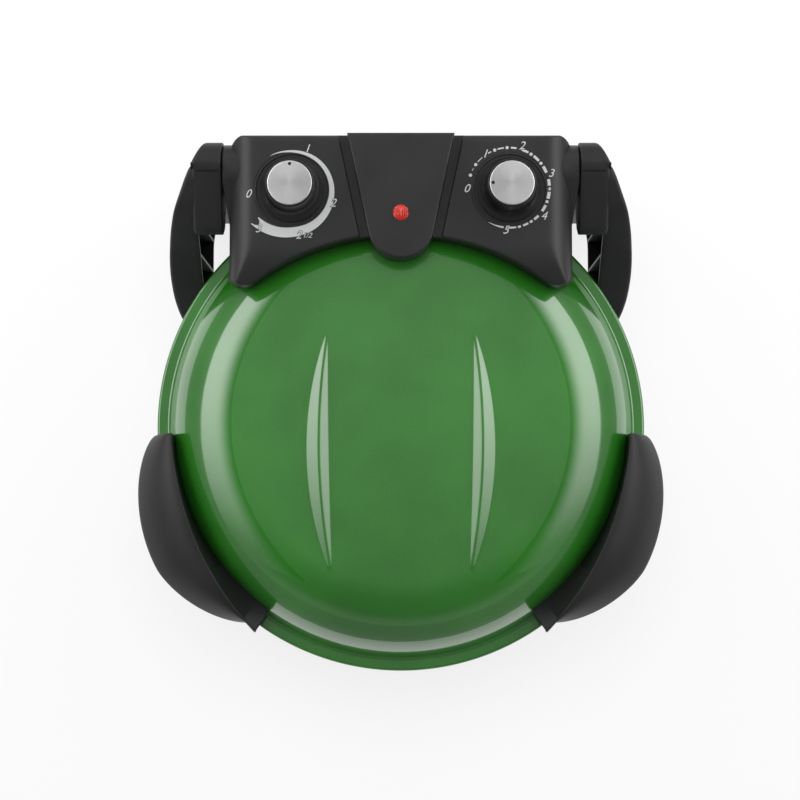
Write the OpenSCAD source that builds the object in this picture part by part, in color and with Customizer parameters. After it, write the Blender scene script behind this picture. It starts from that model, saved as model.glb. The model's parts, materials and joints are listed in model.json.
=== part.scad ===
// Electric pizza maker: a round countertop oven, two enamelled dishes joined by a rear hinge.
// The oven's vertical axis is Z while the pieces are drawn; in_frame() then moves them back so that
// the footprint's middle is the origin.  +X is right and +Y is rear, seen from the front.

/* [Dishes] */
// Outer radius of both rims
rim_r = 180; // [168:1:195]
// Height of the plane where lid and base meet
parting_z = 90; // [84:1:98]
// Height of the lid, and depth of the base, from that plane
dish_h = 60; // [56:1:66]
// Radius of the crown's very flat curve
crown_rad = 1285; // [1000:5:1800]
// Distance from the rim in to where the crown meets the shoulder
shoulder_inset = 66; // [62:1:70]
// Radius of the shoulder
shoulder_rad = 62; // [58:1:66]
// Tilt of the flank below the shoulder
flank_tilt = 68; // [62:1:72]
// Radius between flank and rim flange
rim_fillet = 3; // [2:0.5:4]
// Radius of the rolled bead on the rim
bead_rad = 2.3; // [2:0.1:2.8]
// Thickness of the enamelled sheet
sheet_t = 1.2; // [0.8:0.1:1.6]
// Gap between the two rims when the lid is shut
rim_gap = 0.6; // [0.4:0.1:1]

/* [Lid ridges] */
// Half length of each crescent ridge
ridge_half = 87; // [80:1:95]
// Distance of a ridge's middle from the centre line
ridge_x = 58; // [48:1:66]
// How far a ridge's ends curve in
ridge_sweep = 9; // [5:0.5:10]
// Half width of a ridge at its middle
ridge_w = 8; // [7:0.5:10]
// Height of a ridge over the crown
ridge_h = 4.5; // [3:0.5:6]
// Middle of the ridges in front of the axis
ridge_front = 13; // [0:1:20]

/* [Oven chamber] */
// Distance of the chamber's inner wall inside the rim
liner_inset = 22; // [21:0.5:26]
// Thickness of the liner sheet
liner_t = 1; // [0.6:0.1:1.5]
// Space between the lid's crown and the top of its liner
lid_space = 18; // [17:0.5:22]
// Corner radius of the lid liner
lid_liner_corner = 28; // [26:1:32]
// Gap between the baking stone's edge and the chamber wall
stone_gap = 3; // [2:0.5:6]
// Thickness of the baking stone
stone_t = 12; // [8:1:14]
// Depth of the stone's top below the parting plane
stone_drop = 8; // [6:0.5:10]
// Width of the ledge that carries the stone
ledge_w = 9; // [6:1:11]
// Space between the base's lowest place and the floor of its liner
base_space = 22; // [20:0.5:24]
// Corner radius of the base liner
base_liner_corner = 10; // [6:1:14]
// Radius of the heater tube
tube_r = 3.3; // [2.5:0.1:4]
// Distance of the heater's outer turn inside the chamber wall
heater_inset = 36; // [30:1:44]
// Radius of the heater's inner turn
heater_in_r = 70; // [55:1:85]
// Distance of the upper heater below the top of the lid liner
upper_heater_drop = 11; // [9:0.5:14]
// Distance of the lower heater over the floor of the base liner
lower_heater_rise = 9; // [8:0.5:11]

/* [Control panel] */
// Distance of the panel's ends inside the rim
panel_end_in = 57; // [54:0.5:62]
// How far the panel reaches behind the hinge axis
panel_back = 23; // [21:0.5:24]
// How far the panel's two corners reach in front of the hinge axis
panel_fore = 83.5; // [79:0.5:87]
// Radius of the panel's hollow front edge, seen from above
panel_front_r = 179.8; // [170:0.2:190]
// Distance of that edge behind the crown's edge, on the centre line
panel_set_back = 17.8; // [15:0.2:21]
// Radius by which the panel's top falls away toward its front corners
panel_front_roll = 72; // [60:1:90]
// Distance in front of the hinge axis where that fall starts
panel_fall_fore = 47; // [46:0.5:52]
// Height of the panel's top over the crown
panel_over = 10; // [8:0.5:14]
// Gap between the panel's underside and the rim
panel_under = 2; // [1.5:0.5:3]
// Wall of the panel moulding
panel_wall = 2.5; // [2:0.1:3]
// Radius of the corners in plan
panel_corner = 12; // [8:1:16]
// Radius by which both ends roll down
panel_end_roll = 15; // [8:1:18]
// Radius of the rear edge
panel_rear_roll = 6; // [4:1:10]
// Half width of the centre console at the rear
console_rear_w = 38; // [34:0.5:42]
// Half width of the centre console where its nose starts
console_nose_r = 23.6; // [20:0.2:26]
// Height of the console over the panel
console_over = 5; // [3:0.5:7]
// How far the console's nose reaches over the lid in front of the panel
console_reach = 17.8; // [14:0.2:21]
// Width of the groove round the console
groove_w = 6.6; // [5:0.2:8]
// Depth of the groove round the console
groove_d = 4; // [2:0.5:5]

/* [Knobs] */
// Distance of each knob inside the panel's end
knob_in = 46; // [42:0.5:50]
// Distance of each knob in front of the hinge axis
knob_fore = 17; // [14:0.5:20]
// Radius of the knob's flared skirt
knob_skirt_r = 23; // [20:0.5:24]
// Radius of the knob's grip just under the cap
knob_grip_r = 16.9; // [15:0.1:18]
// Radius of the metal cap
cap_r = 15.5; // [13:0.1:16.5]
// Height of the knob over the panel
knob_h = 27; // [22:0.5:30]
// Thickness of the metal cap
cap_t = 1.6; // [1:0.1:2.5]
// Radius of the control shafts
shaft_r = 3; // [2.5:0.1:3.5]
// Angle of the temperature knob's pointer at rest, from +X
temperature_pointer = 90; // [0:1:359]
// Angle of the timer knob's pointer at rest, from +X
timer_pointer = 180; // [0:1:359]
// Distance of the lamp's centre in front of the hinge axis
lamp_fore = 34; // [30:0.5:38]
// Radius of the lamp lens
lamp_r = 5.6; // [4.5:0.1:6.5]

/* [Lid handles] */
// How far the handles stand out past the rim
wing_reach = 27; // [20:1:32]
// Angle of the widest place, from the side toward the front
wing_mid_a = 31; // [28:1:34]
// Angle from the widest place to the rear tip
wing_rear_span = 28.5; // [26:0.5:30]
// Angle from the widest place to where the grip ends in front
wing_front_span = 22; // [20:0.5:24]
// Angle by which the tail plate runs past the grip
wing_tail = 2; // [1:0.5:3]
// Distance of the handle's inner foot, and of its crest at the rear, inside the rim
wing_inset = 15; // [13:0.5:17]
// How far the crest moves out toward the tail
wing_drift = 17; // [15:0.5:18]
// Height of the handle's crest over the parting plane
wing_top = 42; // [36:1:46]
// Height of the handle's lip over the parting plane
wing_lip = 13; // [11:0.5:15]
// Wall of the handle
wing_wall = 3; // [2.5:0.1:3.5]

/* [Hinge] */
// Height of the hinge axis over the parting plane
hinge_rise = 45; // [43:1:50]
// Radius of the hinge pins
pin_r = 4; // [3:0.1:5]
// Length of each hinge pin
pin_len = 36; // [32:1:38]
// Radius of the panel's hinge barrels
barrel_r = 17; // [14:0.5:18]
// Wall of the bushes round the pins
bush_wall = 2; // [1.5:0.1:3]
// How far each hinge barrel stands out past the panel's end
barrel_len = 4.4; // [4:0.1:6]
// Width of the arm's hinge head, up to the inner face of its slab
arm_head_w = 19; // [17:0.5:21]
// Thickness of the arm where it stands out farthest
arm_t = 23.7; // [21:0.5:26]
// Radius of the arm's hinge head
arm_head_r = 22; // [20:0.5:23]
// Distance of the arm's outermost place in front of the hinge axis
arm_bow_fore = 69; // [64:0.5:74]
// Radius of the arm's outer face behind that place, seen from above
arm_bow_r = 108; // [100:1:120]
// Radius of that face in front of it
arm_nose_r = 72; // [64:1:84]
// Angle at which the outer face then runs straight back past the hinge
arm_taper = 22.8; // [20:0.2:25]
// How far the arm reaches in front of the hinge axis
arm_len = 106; // [100:1:110]
// Wall of the arm moulding
arm_wall = 3.5; // [3:0.1:4.5]

/* [Legs and feet] */
// How far the front legs stand out past the rim
leg_reach = 14; // [12:0.5:17]
// Height of the front legs' top below the parting plane
leg_drop = 18; // [16:1:22]
// Angle of the front legs' middle, from the side toward the front
leg_mid_a = 28; // [26:1:30]
// Angle that each front leg spans
leg_span = 36; // [30:1:40]
// Wall of the leg moulding
leg_wall = 3; // [2.5:0.1:4]
// Height of the rubber feet under legs and arms
foot_h = 3; // [2:0.5:5]
// Radius of the rubber feet
foot_r = 6.2; // [5:0.1:6.4]

/* [Fits] */
// Running clearance of pins and shafts
run_gap = 0.05; // [0.02:0.01:0.08]
// Seating gap between mouldings and the dishes
seat_gap = 0.3; // [0.2:0.05:0.5]
// Radius of the cord inlet's bore
inlet_r = 3.6; // [3:0.1:4.2]
// Radius of the screws
screw_r = 1.5; // [1.3:0.1:1.8]

/* [Hidden] */
$fn = 96;
eps = 0.01;
far = 400;

// Derived places
hinge_y = rim_r;
hinge_z = parting_z + hinge_rise;
crown_z = parting_z + dish_h;
panel_top = crown_z + panel_over;
console_top = panel_top + console_over;
groove_z = panel_top - groove_d;
panel_rear_y = hinge_y + panel_back;
knob_y = hinge_y - knob_fore;
knob_recess = 1;
knob_gap = 0.5;
knob_z = panel_top - knob_recess + knob_gap;
knob_top = panel_top + knob_h;
frame_y = (panel_rear_y - rim_r) / 2;
liner_r = rim_r - liner_inset;
stone_r = liner_r - stone_gap;
heater_out_r = liner_r - heater_inset;
leg_out_r = rim_r + leg_reach;
lid_liner_h = dish_h - lid_space;
base_liner_h = dish_h - base_space;
upper_heater_z = lid_liner_h - upper_heater_drop;
lower_heater_z = base_liner_h - lower_heater_rise;

// Dish profile, measured from the parting plane
crown_edge_r = rim_r - shoulder_inset;
crown_tilt = asin(crown_edge_r / crown_rad);
shoulder_c = [crown_edge_r - shoulder_rad * sin(crown_tilt),
    dish_h - crown_rad * (1 - cos(crown_tilt)) - shoulder_rad * cos(crown_tilt)];
flange_z = rim_gap / 2 + 2 * bead_rad;
flank_top = shoulder_c + shoulder_rad * [sin(flank_tilt), cos(flank_tilt)];
fillet_z = flange_z + rim_fillet;
fillet_c = [flank_top[0] + (rim_fillet - (fillet_z - flank_top[1]) * cos(flank_tilt)) / sin(flank_tilt),
    fillet_z];
panel_low = parting_z + flange_z + panel_under;

// Plan of the panel, the lamp and the arms
panel_half_w = rim_r - panel_end_in;
knob_x = panel_half_w - knob_in;
panel_front_y = hinge_y - panel_fore;
panel_front_c = crown_edge_r + panel_set_back - panel_front_r;
console_tip_y = crown_edge_r + panel_set_back - console_reach;
lamp_y = hinge_y - lamp_fore;
barrel_gap = 0.6;
arm_head_x = panel_half_w + barrel_len + barrel_gap;
arm_inner_x = arm_head_x + arm_head_w;
arm_out_x = arm_inner_x + arm_t;

// Liner flanges lie against the inner face of the rim flanges
liner_flange_top = flange_z - sheet_t;
liner_flange_r = rim_r - 2 * bead_rad - 0.5;
stone_top = parting_z - stone_drop;
stone_bottom = stone_top - stone_t;

function arc_pts(c, r, a0, a1, n) =
    [for (i = [0:n]) let (a = a0 + (a1 - a0) * i / n) c + r * [cos(a), sin(a)]];
function tail(list) = [for (i = [1:len(list) - 1]) list[i]];
function reversed(list) = [for (i = [len(list) - 1:-1:0]) list[i]];

// Outer face of a dish, moved inward by inset: crown, shoulder and rim fillet
function skin_pts(inset) = concat(
    arc_pts([0, dish_h - crown_rad], crown_rad - inset, 90, 90 - crown_tilt, 5),
    tail(arc_pts(shoulder_c, shoulder_rad - inset, 90 - crown_tilt, 90 - flank_tilt, 14)),
    arc_pts(fillet_c, rim_fillet + inset, 270 - flank_tilt, 270, 4));

// Height of the dish's outer face over the parting plane at radius r
function skin_z(r) = r < crown_edge_r
    ? dish_h - crown_rad + sqrt(crown_rad * crown_rad - r * r)
    : shoulder_c[1] + sqrt(max(1, shoulder_rad * shoulder_rad - pow(r - shoulder_c[0], 2)));

// Radius of the dish's outer face at height z over the parting plane, on shoulder or flank
function skin_r(z) = z > flank_top[1]
    ? shoulder_c[0] + sqrt(shoulder_rad * shoulder_rad - pow(z - shoulder_c[1], 2))
    : flank_top[0] + (flank_top[1] - z) / tan(flank_tilt);

// ---- Placing ----

module in_frame() {
    translate([0, -frame_y, 0]) children();
}

module over_parting() {
    translate([0, 0, parting_z]) children();
}

module under_parting() {
    translate([0, 0, parting_z]) mirror([0, 0, 1]) children();
}

module both_sides() {
    children();
    mirror([1, 0, 0]) children();
}

// Turns a piece drawn along +X to an angle measured from -X toward the front
module at_left(a) {
    rotate([0, 0, 180 + a]) children();
}

// A rod along X
module rod_x(x0, x1, r) {
    translate([x0, 0, 0]) rotate([0, 90, 0]) cylinder(h = x1 - x0, r = r);
}

module rounded_rect(x0, x1, y0, y1, r) {
    translate([x0 + r, y0]) square([x1 - x0 - 2 * r, y1 - y0]);
    translate([x0, y0 + r]) square([x1 - x0, y1 - y0 - 2 * r]);
    for (x = [x0 + r, x1 - r], y = [y0 + r, y1 - r]) {
        translate([x, y]) circle(r);
    }
}

// ---- Dishes ----

// The enamelled sheet of one dish with its rolled bead, opening downward
module dish_sheet() {
    bead_c = [rim_r - bead_rad, flange_z - bead_rad];
    rotate_extrude($fn = 180) polygon(concat(
        skin_pts(0),
        arc_pts(bead_c, bead_rad, 90, -180, 12),
        [[rim_r - 2 * bead_rad, flange_z - sheet_t]],
        reversed(skin_pts(sheet_t))));
}

// The space that a dish fills, grown by extra
module dish_space(extra) {
    rotate_extrude($fn = 180) polygon(concat(
        skin_pts(-extra),
        [[rim_r + extra, flange_z + extra], [rim_r + extra, -extra], [0, -extra]]));
}

// A cone on the plane base_z: its foot has radius r and its side leans in by lean per millimetre
module ridge_cone(x, r, base_z, lean) {
    below = 8;
    above = ridge_h + 2;
    translate([x, -ridge_front, base_z - below])
        cylinder(h = below + above, r1 = r + lean * below, r2 = r - lean * above, $fn = 720);
}

// One crescent ridge: what two wide cones have in common, above the middle of the sheet
module crescent_ridge() {
    lean = ridge_w / ridge_h;
    fall = ridge_half * ridge_half / (2 * crown_rad);
    outer_sag = ridge_w + lean * fall + ridge_sweep;
    inner_sag = ridge_w + lean * fall - ridge_sweep;
    outer_r = (ridge_half * ridge_half + outer_sag * outer_sag) / (2 * outer_sag);
    inner_r = (ridge_half * ridge_half + inner_sag * inner_sag) / (2 * inner_sag);
    base_z = skin_z(norm([ridge_x, ridge_front]));
    difference() {
        intersection() {
            ridge_cone(ridge_x + ridge_w - outer_r, outer_r, base_z, lean);
            ridge_cone(ridge_x - ridge_w + inner_r, inner_r, base_z, lean);
        }
        dish_space(-sheet_t / 2);
    }
}

module lid_screw_holes() {
    for (a = wing_screw_a) {
        both_sides() at_left(a) translate([0, 0, wing_screw_z]) rod_x(liner_r, rim_r, screw_r + 0.2);
    }
    both_sides() translate([panel_boss[0], panel_boss[1], 0]) cylinder(h = dish_h, r = screw_r + 0.2);
}

module lid_shell() {
    color("forestgreen") in_frame() over_parting() difference() {
        union() {
            dish_sheet();
            both_sides() crescent_ridge();
        }
        lid_screw_holes();
        translate([0, wire_hole_y, skin_z(wire_hole_y) - 10]) cylinder(h = 20, r = wire_hole_r);
    }
}

module base_shell() {
    color("forestgreen") in_frame() difference() {
        under_parting() dish_sheet();
        leg_screw_places() rod_x(skin_r(leg_screw_z) - 15, leg_out_r, screw_r + 0.2);
        arm_screw_places() rod_x(-15, 15, screw_r + 0.2);
        cord_inlet_hole();
    }
}

// ---- Liners, stone and heaters ----

// Outline of the lid liner's outer face, or its inner face when inset is liner_t
module lid_liner_space(inset) {
    c = [liner_r + liner_t - inset - lid_liner_corner, lid_liner_h - inset - lid_liner_corner];
    rotate_extrude($fn = 180) polygon(concat([[0, -1], [0, lid_liner_h - inset]],
        arc_pts(c, lid_liner_corner, 90, 0, 10), [[liner_r + liner_t - inset, -1]]));
}

module flange_ring(inner_r) {
    translate([0, 0, liner_flange_top - liner_t]) difference() {
        cylinder(h = liner_t, r = liner_flange_r, $fn = 180);
        translate([0, 0, -1]) cylinder(h = liner_t + 2, r = inner_r, $fn = 180);
    }
}

module lid_liner() {
    color("silver") in_frame() over_parting() difference() {
        union() {
            intersection() {
                lid_liner_space(0);
                translate([0, 0, liner_flange_top - liner_t]) cylinder(h = dish_h, r = rim_r);
            }
            flange_ring(liner_r);
        }
        lid_liner_space(liner_t);
        heater_leg_places() cylinder(h = dish_h, r = tube_r + heater_hole_gap);
    }
}

// Stepped pan, drawn downward from the parting plane as positive heights
module base_liner_space(inset) {
    r1 = liner_r + liner_t - inset;
    r2 = stone_r - ledge_w + liner_t - inset;
    ledge_z = stone_drop + stone_t + liner_t - inset;
    floor_z = base_liner_h - inset;
    corner = base_liner_corner;
    rotate_extrude($fn = 180) polygon(concat([[0, -1], [0, floor_z]],
        arc_pts([r2 - corner, floor_z - corner], corner, 90, 0, 6),
        [[r2, ledge_z], [r1, ledge_z], [r1, -1]]));
}

module base_liner() {
    color("silver") in_frame() under_parting() difference() {
        union() {
            intersection() {
                base_liner_space(0);
                translate([0, 0, liner_flange_top - liner_t]) cylinder(h = dish_h, r = rim_r);
            }
            flange_ring(liner_r);
        }
        base_liner_space(liner_t);
        heater_leg_places() cylinder(h = dish_h, r = tube_r + heater_hole_gap);
        stone_clip_places() translate([clip_screw_r, 0, -1]) cylinder(h = 20, r = screw_r + 0.1);
    }
}

// Mineral wool fills the space between a shell and its liner, with a small gap to both
module wool(low) {
    intersection() {
        dish_space(-sheet_t - wool_gap);
        translate([0, 0, low]) cylinder(h = dish_h, r = wool_r, $fn = 180);
    }
}

module lid_insulation() {
    color("khaki") in_frame() over_parting() difference() {
        wool(wool_low);
        lid_liner_space(-wool_gap);
        heater_leg_places() cylinder(h = dish_h, r = tube_r + heater_hole_gap);
        both_sides() translate([panel_boss[0], panel_boss[1], 0]) cylinder(h = dish_h, r = screw_head_r + 1);
        translate([0, wire_hole_y, 0]) cylinder(h = dish_h, r = wire_hole_r + 1);
    }
}

module base_insulation() {
    color("khaki") in_frame() difference() {
        under_parting() difference() {
            wool(base_wool_low);
            base_liner_space(-wool_gap);
            heater_leg_places() cylinder(h = dish_h, r = tube_r + heater_hole_gap);
            translate([terminal_x - terminal_half - 4, terminal_y - 16, 0])
                cube([2 * terminal_half + 8, 34, dish_h]);
            translate([-inlet_body_r - 2, terminal_y, 0]) cube([2 * inlet_body_r + 4, rim_r, dish_h]);
        }
        leg_screw_places() rod_x(rim_r / 2, rim_r, screw_head_r + 1);
        arm_screw_places() rod_x(-20, 20, screw_head_r + 1);
    }
}

module heater_leg_places() {
    for (p = [heater_out_r, heater_in_r]) {
        rotate([0, 0, 90 + heater_gap_a]) translate([p, 0, 0]) children();
    }
}

// A double ring: once round outside, across a link, back round inside, and a thinner leg at each end
module heater(z, leg) {
    link_r = 0.8 * tube_r;
    leg_r = 0.85 * tube_r;
    translate([0, 0, z]) {
        for (r = [heater_out_r, heater_in_r]) {
            rotate([0, 0, 90 + heater_gap_a - 3]) rotate_extrude(angle = 366 - 2 * heater_gap_a, $fn = 120)
                translate([r, 0]) circle(tube_r, $fn = 24);
        }
        rotate([0, 0, 90 - heater_gap_a]) rod_x(heater_in_r, heater_out_r, link_r);
        heater_leg_places() cylinder(h = leg, r = leg_r, $fn = 24);
    }
}

module upper_heater() {
    color("dimgray") in_frame() over_parting() heater(upper_heater_z, heater_leg);
}

module lower_heater() {
    color("dimgray") in_frame() under_parting() heater(lower_heater_z, heater_leg);
}

// A post from the liner with an eye round the heater tube
module heater_clips(z, liner_z) {
    for (a = [210, 330, 30], r = [heater_out_r, heater_in_r]) {
        rotate([0, 0, a]) translate([r, 0, z]) difference() {
            union() {
                cylinder(h = liner_z - z, r = 1.5, $fn = 24);
                rotate([90, 0, 0]) cylinder(h = 5, r = tube_r + 1.4, center = true, $fn = 32);
            }
            rotate([90, 0, 0]) cylinder(h = 7, r = tube_r + 0.3, center = true, $fn = 32);
        }
    }
}

module upper_heater_clips() {
    color("silver") in_frame() over_parting() heater_clips(upper_heater_z, lid_liner_h - liner_t);
}

module lower_heater_clips() {
    color("silver") in_frame() under_parting() heater_clips(lower_heater_z, base_liner_h - liner_t);
}

module baking_stone() {
    chamfer = 1.5;
    color("burlywood") in_frame() translate([0, 0, stone_bottom]) rotate_extrude($fn = 180) polygon([
        [0, 0], [stone_r - chamfer, 0], [stone_r, chamfer], [stone_r, stone_t - chamfer],
        [stone_r - chamfer, stone_t], [0, stone_t]]);
}

module stone_clip_places() {
    for (a = [45:90:315]) {
        rotate([0, 0, a]) children();
    }
}

// A bent tongue: it holds the stone's edge down and is screwed to the liner's flange
module stone_clips() {
    wall_x = liner_r - clip_t - 0.3;
    flange_top = liner_flange_top - liner_t;
    color("silver") in_frame() under_parting() stone_clip_places() difference() {
        translate([0, -clip_w / 2, 0]) union() {
            translate([stone_r - 6, 0, stone_drop - clip_t])
                cube([wall_x + clip_t - stone_r + 6, clip_w, clip_t]);
            translate([wall_x, 0, flange_top - clip_t])
                cube([clip_t, clip_w, stone_drop - flange_top + clip_t]);
            translate([wall_x, 0, flange_top - clip_t]) cube([clip_screw_r + 4 - wall_x, clip_w, clip_t]);
        }
        translate([clip_screw_r, 0, -1]) cylinder(h = 20, r = screw_r + 0.1);
    }
}

module stone_clip_screws() {
    flange_top = liner_flange_top - liner_t;
    color("silver") in_frame() under_parting() stone_clip_places() translate([clip_screw_r, 0, flange_top]) {
        translate([0, 0, -clip_t]) cylinder(h = 7, r = screw_r, $fn = 24);
        translate([0, 0, -clip_t - 1]) cylinder(h = 1, r = screw_head_r, $fn = 32);
    }
}

// ---- Base fittings ----

module base_terminal_block() {
    color("ivory") in_frame() translate([terminal_x, terminal_y, terminal_z]) difference() {
        translate([-terminal_half, -8, 0]) cube([2 * terminal_half, 16, terminal_h]);
        for (x = [-12, 0, 12]) {
            translate([x, 0, terminal_h / 2]) rotate([90, 0, 0])
                cylinder(h = 40, r = 2.4, center = true, $fn = 24);
        }
    }
}

module cord_inlet_hole() {
    translate([0, inlet_y - inlet_inside - 1, inlet_z]) rotate([-90, 0, 0])
        cylinder(h = inlet_inside + inlet_outside + 2, r = inlet_body_r + 0.1, $fn = 48);
}

// A round gland with a collar outside the wall
module cord_inlet() {
    color("#1b1b1b") in_frame() translate([0, inlet_y, inlet_z]) rotate([-90, 0, 0]) difference() {
        union() {
            translate([0, 0, -inlet_inside])
                cylinder(h = inlet_inside + inlet_outside, r = inlet_body_r, $fn = 48);
            translate([0, 0, inlet_collar])
                cylinder(h = inlet_outside - inlet_collar, r = inlet_body_r + 3, $fn = 48);
        }
        translate([0, 0, -inlet_inside - 1])
            cylinder(h = inlet_inside + inlet_outside + 2, r = inlet_r, $fn = 48);
    }
}

// ---- Front legs ----

module leg_screw_places() {
    for (a = [leg_mid_a - 10, leg_mid_a + 10]) {
        both_sides() at_left(a) translate([0, 0, parting_z - leg_screw_z]) children();
    }
}

module leg_section(inset) {
    top = parting_z - leg_drop - inset;
    polygon([[leg_foot_in + inset, foot_h - 2 * inset], [leg_foot_out - inset, foot_h - 2 * inset],
        [leg_out_r - inset, 0.45 * top], [leg_out_r - inset - 1, 0.8 * top],
        [leg_out_r - 5 - inset, 0.95 * top], [leg_out_r - 11 - inset, top],
        [leg_in_r + inset, top], [leg_in_r + inset, leg_in_z + inset]]);
}

module leg_sector(inset) {
    side_a = asin(inset / rim_r);
    rotate([0, 0, 180 + leg_mid_a - leg_span / 2 + side_a])
        rotate_extrude(angle = leg_span - 2 * side_a, $fn = 180) leg_section(inset);
}

module front_leg() {
    difference() {
        leg_sector(0);
        difference() {
            leg_sector(leg_wall);
            under_parting() dish_space(seat_gap + leg_wall);
            at_left(leg_mid_a) translate([leg_in_r, -2, 0]) cube([60, 4, parting_z]);
            at_left(leg_mid_a) translate([leg_foot_mid, 0, 0]) cylinder(h = 20, r = foot_r + 1);
            leg_screw_places() rod_x(0, leg_out_r, 5);
        }
        under_parting() dish_space(seat_gap);
        leg_screw_places() rod_x(0, leg_out_r - 6, screw_r);
        at_left(leg_mid_a) translate([leg_foot_mid, 0, 0]) cylinder(h = foot_h + foot_sunk, r = foot_r + 0.1);
    }
}

module front_leg_left() {
    color("#222222") in_frame() front_leg();
}

module front_leg_right() {
    color("#222222") in_frame() mirror([1, 0, 0]) front_leg();
}

// A pan-head screw along X, its head on the -X side at the origin
module screw_x(len) {
    rod_x(0, len, screw_r);
    rod_x(-1.6, 0, screw_head_r);
}

module front_leg_screws() {
    head_x = skin_r(leg_screw_z + screw_head_r) - sheet_t - 0.6;
    color("silver") in_frame() leg_screw_places() translate([head_x, 0, 0])
        screw_x(22);
}

module feet() {
    color("#111111") in_frame() {
        both_sides() at_left(leg_mid_a) translate([leg_foot_mid, 0, 0]) foot();
        both_sides() translate([arm_foot_x, arm_foot_y, 0]) foot();
    }
}

module foot() {
    cylinder(h = foot_h + foot_sunk - 0.1, r = foot_r, $fn = 48);
}

// ---- Hinge arms ----

// Side view of an arm, as Y and Z, moved inward by inset
module arm_side(inset) {
    head = arm_head_r - inset;
    translate([hinge_y, hinge_z]) circle(head);
    polygon([[hinge_y + head * cos(20), hinge_z + head * sin(20)],
        [hinge_y + head * cos(100), hinge_z + head * sin(100)],
        [hinge_y - 24, hinge_z + 12 - inset], [hinge_y - 50, parting_z + 28 - inset],
        [hinge_y - 78, parting_z + 2 - inset], [arm_front_y + 8, parting_z - 10 - inset],
        [arm_front_y + inset, parting_z - 18], [arm_front_y + inset, arm_low + 8],
        [arm_front_y + 8, arm_low + inset], [arm_foot_y - 34, arm_low + inset],
        [arm_foot_y - 16 + inset, foot_h + 3], [arm_foot_y - 14 + inset, foot_h + min(inset, 1)],
        [arm_foot_y + 13 - inset, foot_h + min(inset, 1)],
        [hinge_y + arm_head_r - 1 - inset, parting_z + 20]]);
}

module arm_prism(x0, x1, inset) {
    translate([x0, 0, 0]) rotate([90, 0, 90]) linear_extrude(x1 - x0) arm_side(inset);
}

// All that lies inside an arm's outer face, moved inward by inset: seen from above, a nose, a bow and a taper
module arm_bow(inset) {
    y = hinge_y - arm_bow_fore;
    nose = arc_pts([arm_out_x - arm_nose_r, y], arm_nose_r - inset, -60, 0, 8);
    bow = tail(arc_pts([arm_out_x - arm_bow_r, y], arm_bow_r - inset, 0, arm_taper, 6));
    end_y = hinge_y + arm_head_r + 10;
    end_x = bow[5][0] - (end_y - bow[5][1]) * tan(arm_taper);
    translate([0, 0, -1]) linear_extrude(far)
        polygon(concat([[0, nose[0][1]]], nose, bow, [[end_x, end_y], [0, end_y]]));
}

// The ribs that cross the hollow of an arm
module arm_ribs() {
    for (y = [arm_front_y + 26:24:hinge_y + 10]) {
        translate([0, y, 0]) cube([far, 2, far]);
    }
    translate([0, arm_front_y, parting_z - 22]) cube([far, 60, 2]);
    translate([0, arm_foot_y, 0]) translate([arm_foot_x, 0, 0]) cylinder(h = foot_h + 14, r = foot_r + 1);
    translate([0, hinge_y, hinge_z]) rod_x(arm_inner_x, far, pin_r + 5);
}

module arm_screw_places() {
    both_sides() for (dz = [0, arm_screw_gap]) {
        rotate([0, 0, arm_screw_a]) translate([skin_r(arm_screw_z + dz), 0, parting_z - arm_screw_z - dz])
            children();
    }
}

// Outer slab with a ribbed hollow, the hinge head and rear leg inside it, and a lug that seats on the dish
module hinge_arm() {
    difference() {
        union() {
            difference() {
                intersection() {
                    arm_prism(arm_inner_x, far, 0);
                    arm_bow(0);
                }
                difference() {
                    intersection() {
                        arm_prism(arm_inner_x - 1, far, arm_wall);
                        arm_bow(arm_wall);
                    }
                    arm_ribs();
                }
            }
            arm_head();
            arm_lug();
        }
        under_parting() dish_space(seat_gap);
        translate([0, 0, parting_z - flange_z - 0.5]) cylinder(h = far, r = rim_r + 1, $fn = 180);
        translate([0, hinge_y, hinge_z]) rod_x(0, pin_in_x + pin_len + 0.2, pin_r + 0.02);
        translate([arm_foot_x, arm_foot_y, 0]) cylinder(h = foot_h + foot_sunk, r = foot_r + 0.1);
        arm_screw_places() rod_x(-5, 24, screw_r);
    }
}

// Side view of the hinge head, round at the hinge and thinner toward the front, with the rear leg below it
module head_side(inset) {
    head = arm_head_r - inset;
    translate([hinge_y, hinge_z]) circle(head);
    polygon([[hinge_y + head * cos(20), hinge_z + head * sin(20)], [hinge_y, hinge_z + head],
        [hinge_y - 18, hinge_z + 16 - inset], [hinge_y - 42, hinge_z + 4 - inset],
        [hinge_y - 45 + inset, hinge_z - 4], [hinge_y - 40 + inset, hinge_z - 14],
        [arm_foot_y - 17 + inset, hinge_z - arm_head_r - 4],
        [arm_foot_y - 14 + inset, foot_h + min(inset, 1)],
        [arm_foot_y + 13 - inset, foot_h + min(inset, 1)],
        [hinge_y + arm_head_r - 1 - inset, parting_z + 20]]);
}

module head_prism(x0, x1, inset) {
    translate([x0, 0, 0]) rotate([90, 0, 90]) linear_extrude(x1 - x0) head_side(inset);
}

// The head is solid; the leg under it is hollow and open on its inner side
module arm_head() {
    difference() {
        intersection() {
            head_prism(arm_head_x, arm_inner_x + 2, 0);
            arm_bow(0);
        }
        difference() {
            intersection() {
                head_prism(arm_head_x - 1, arm_inner_x + 3, arm_wall);
                arm_bow(arm_wall);
                cube([far, far, hinge_z - arm_head_r - 4]);
            }
            arm_ribs();
        }
    }
}

module arm_lug() {
    intersection() {
        rotate([0, 0, arm_screw_a]) translate([lug_in_r, -lug_w / 2, arm_low + 6])
            cube([arm_out_x + 1 - lug_in_r, lug_w, parting_z - flange_z - 8 - arm_low]);
        arm_bow(1);
    }
}

module hinge_arm_left() {
    color("#262626") in_frame() mirror([1, 0, 0]) hinge_arm();
}

module hinge_arm_right() {
    color("#262626") in_frame() hinge_arm();
}

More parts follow.
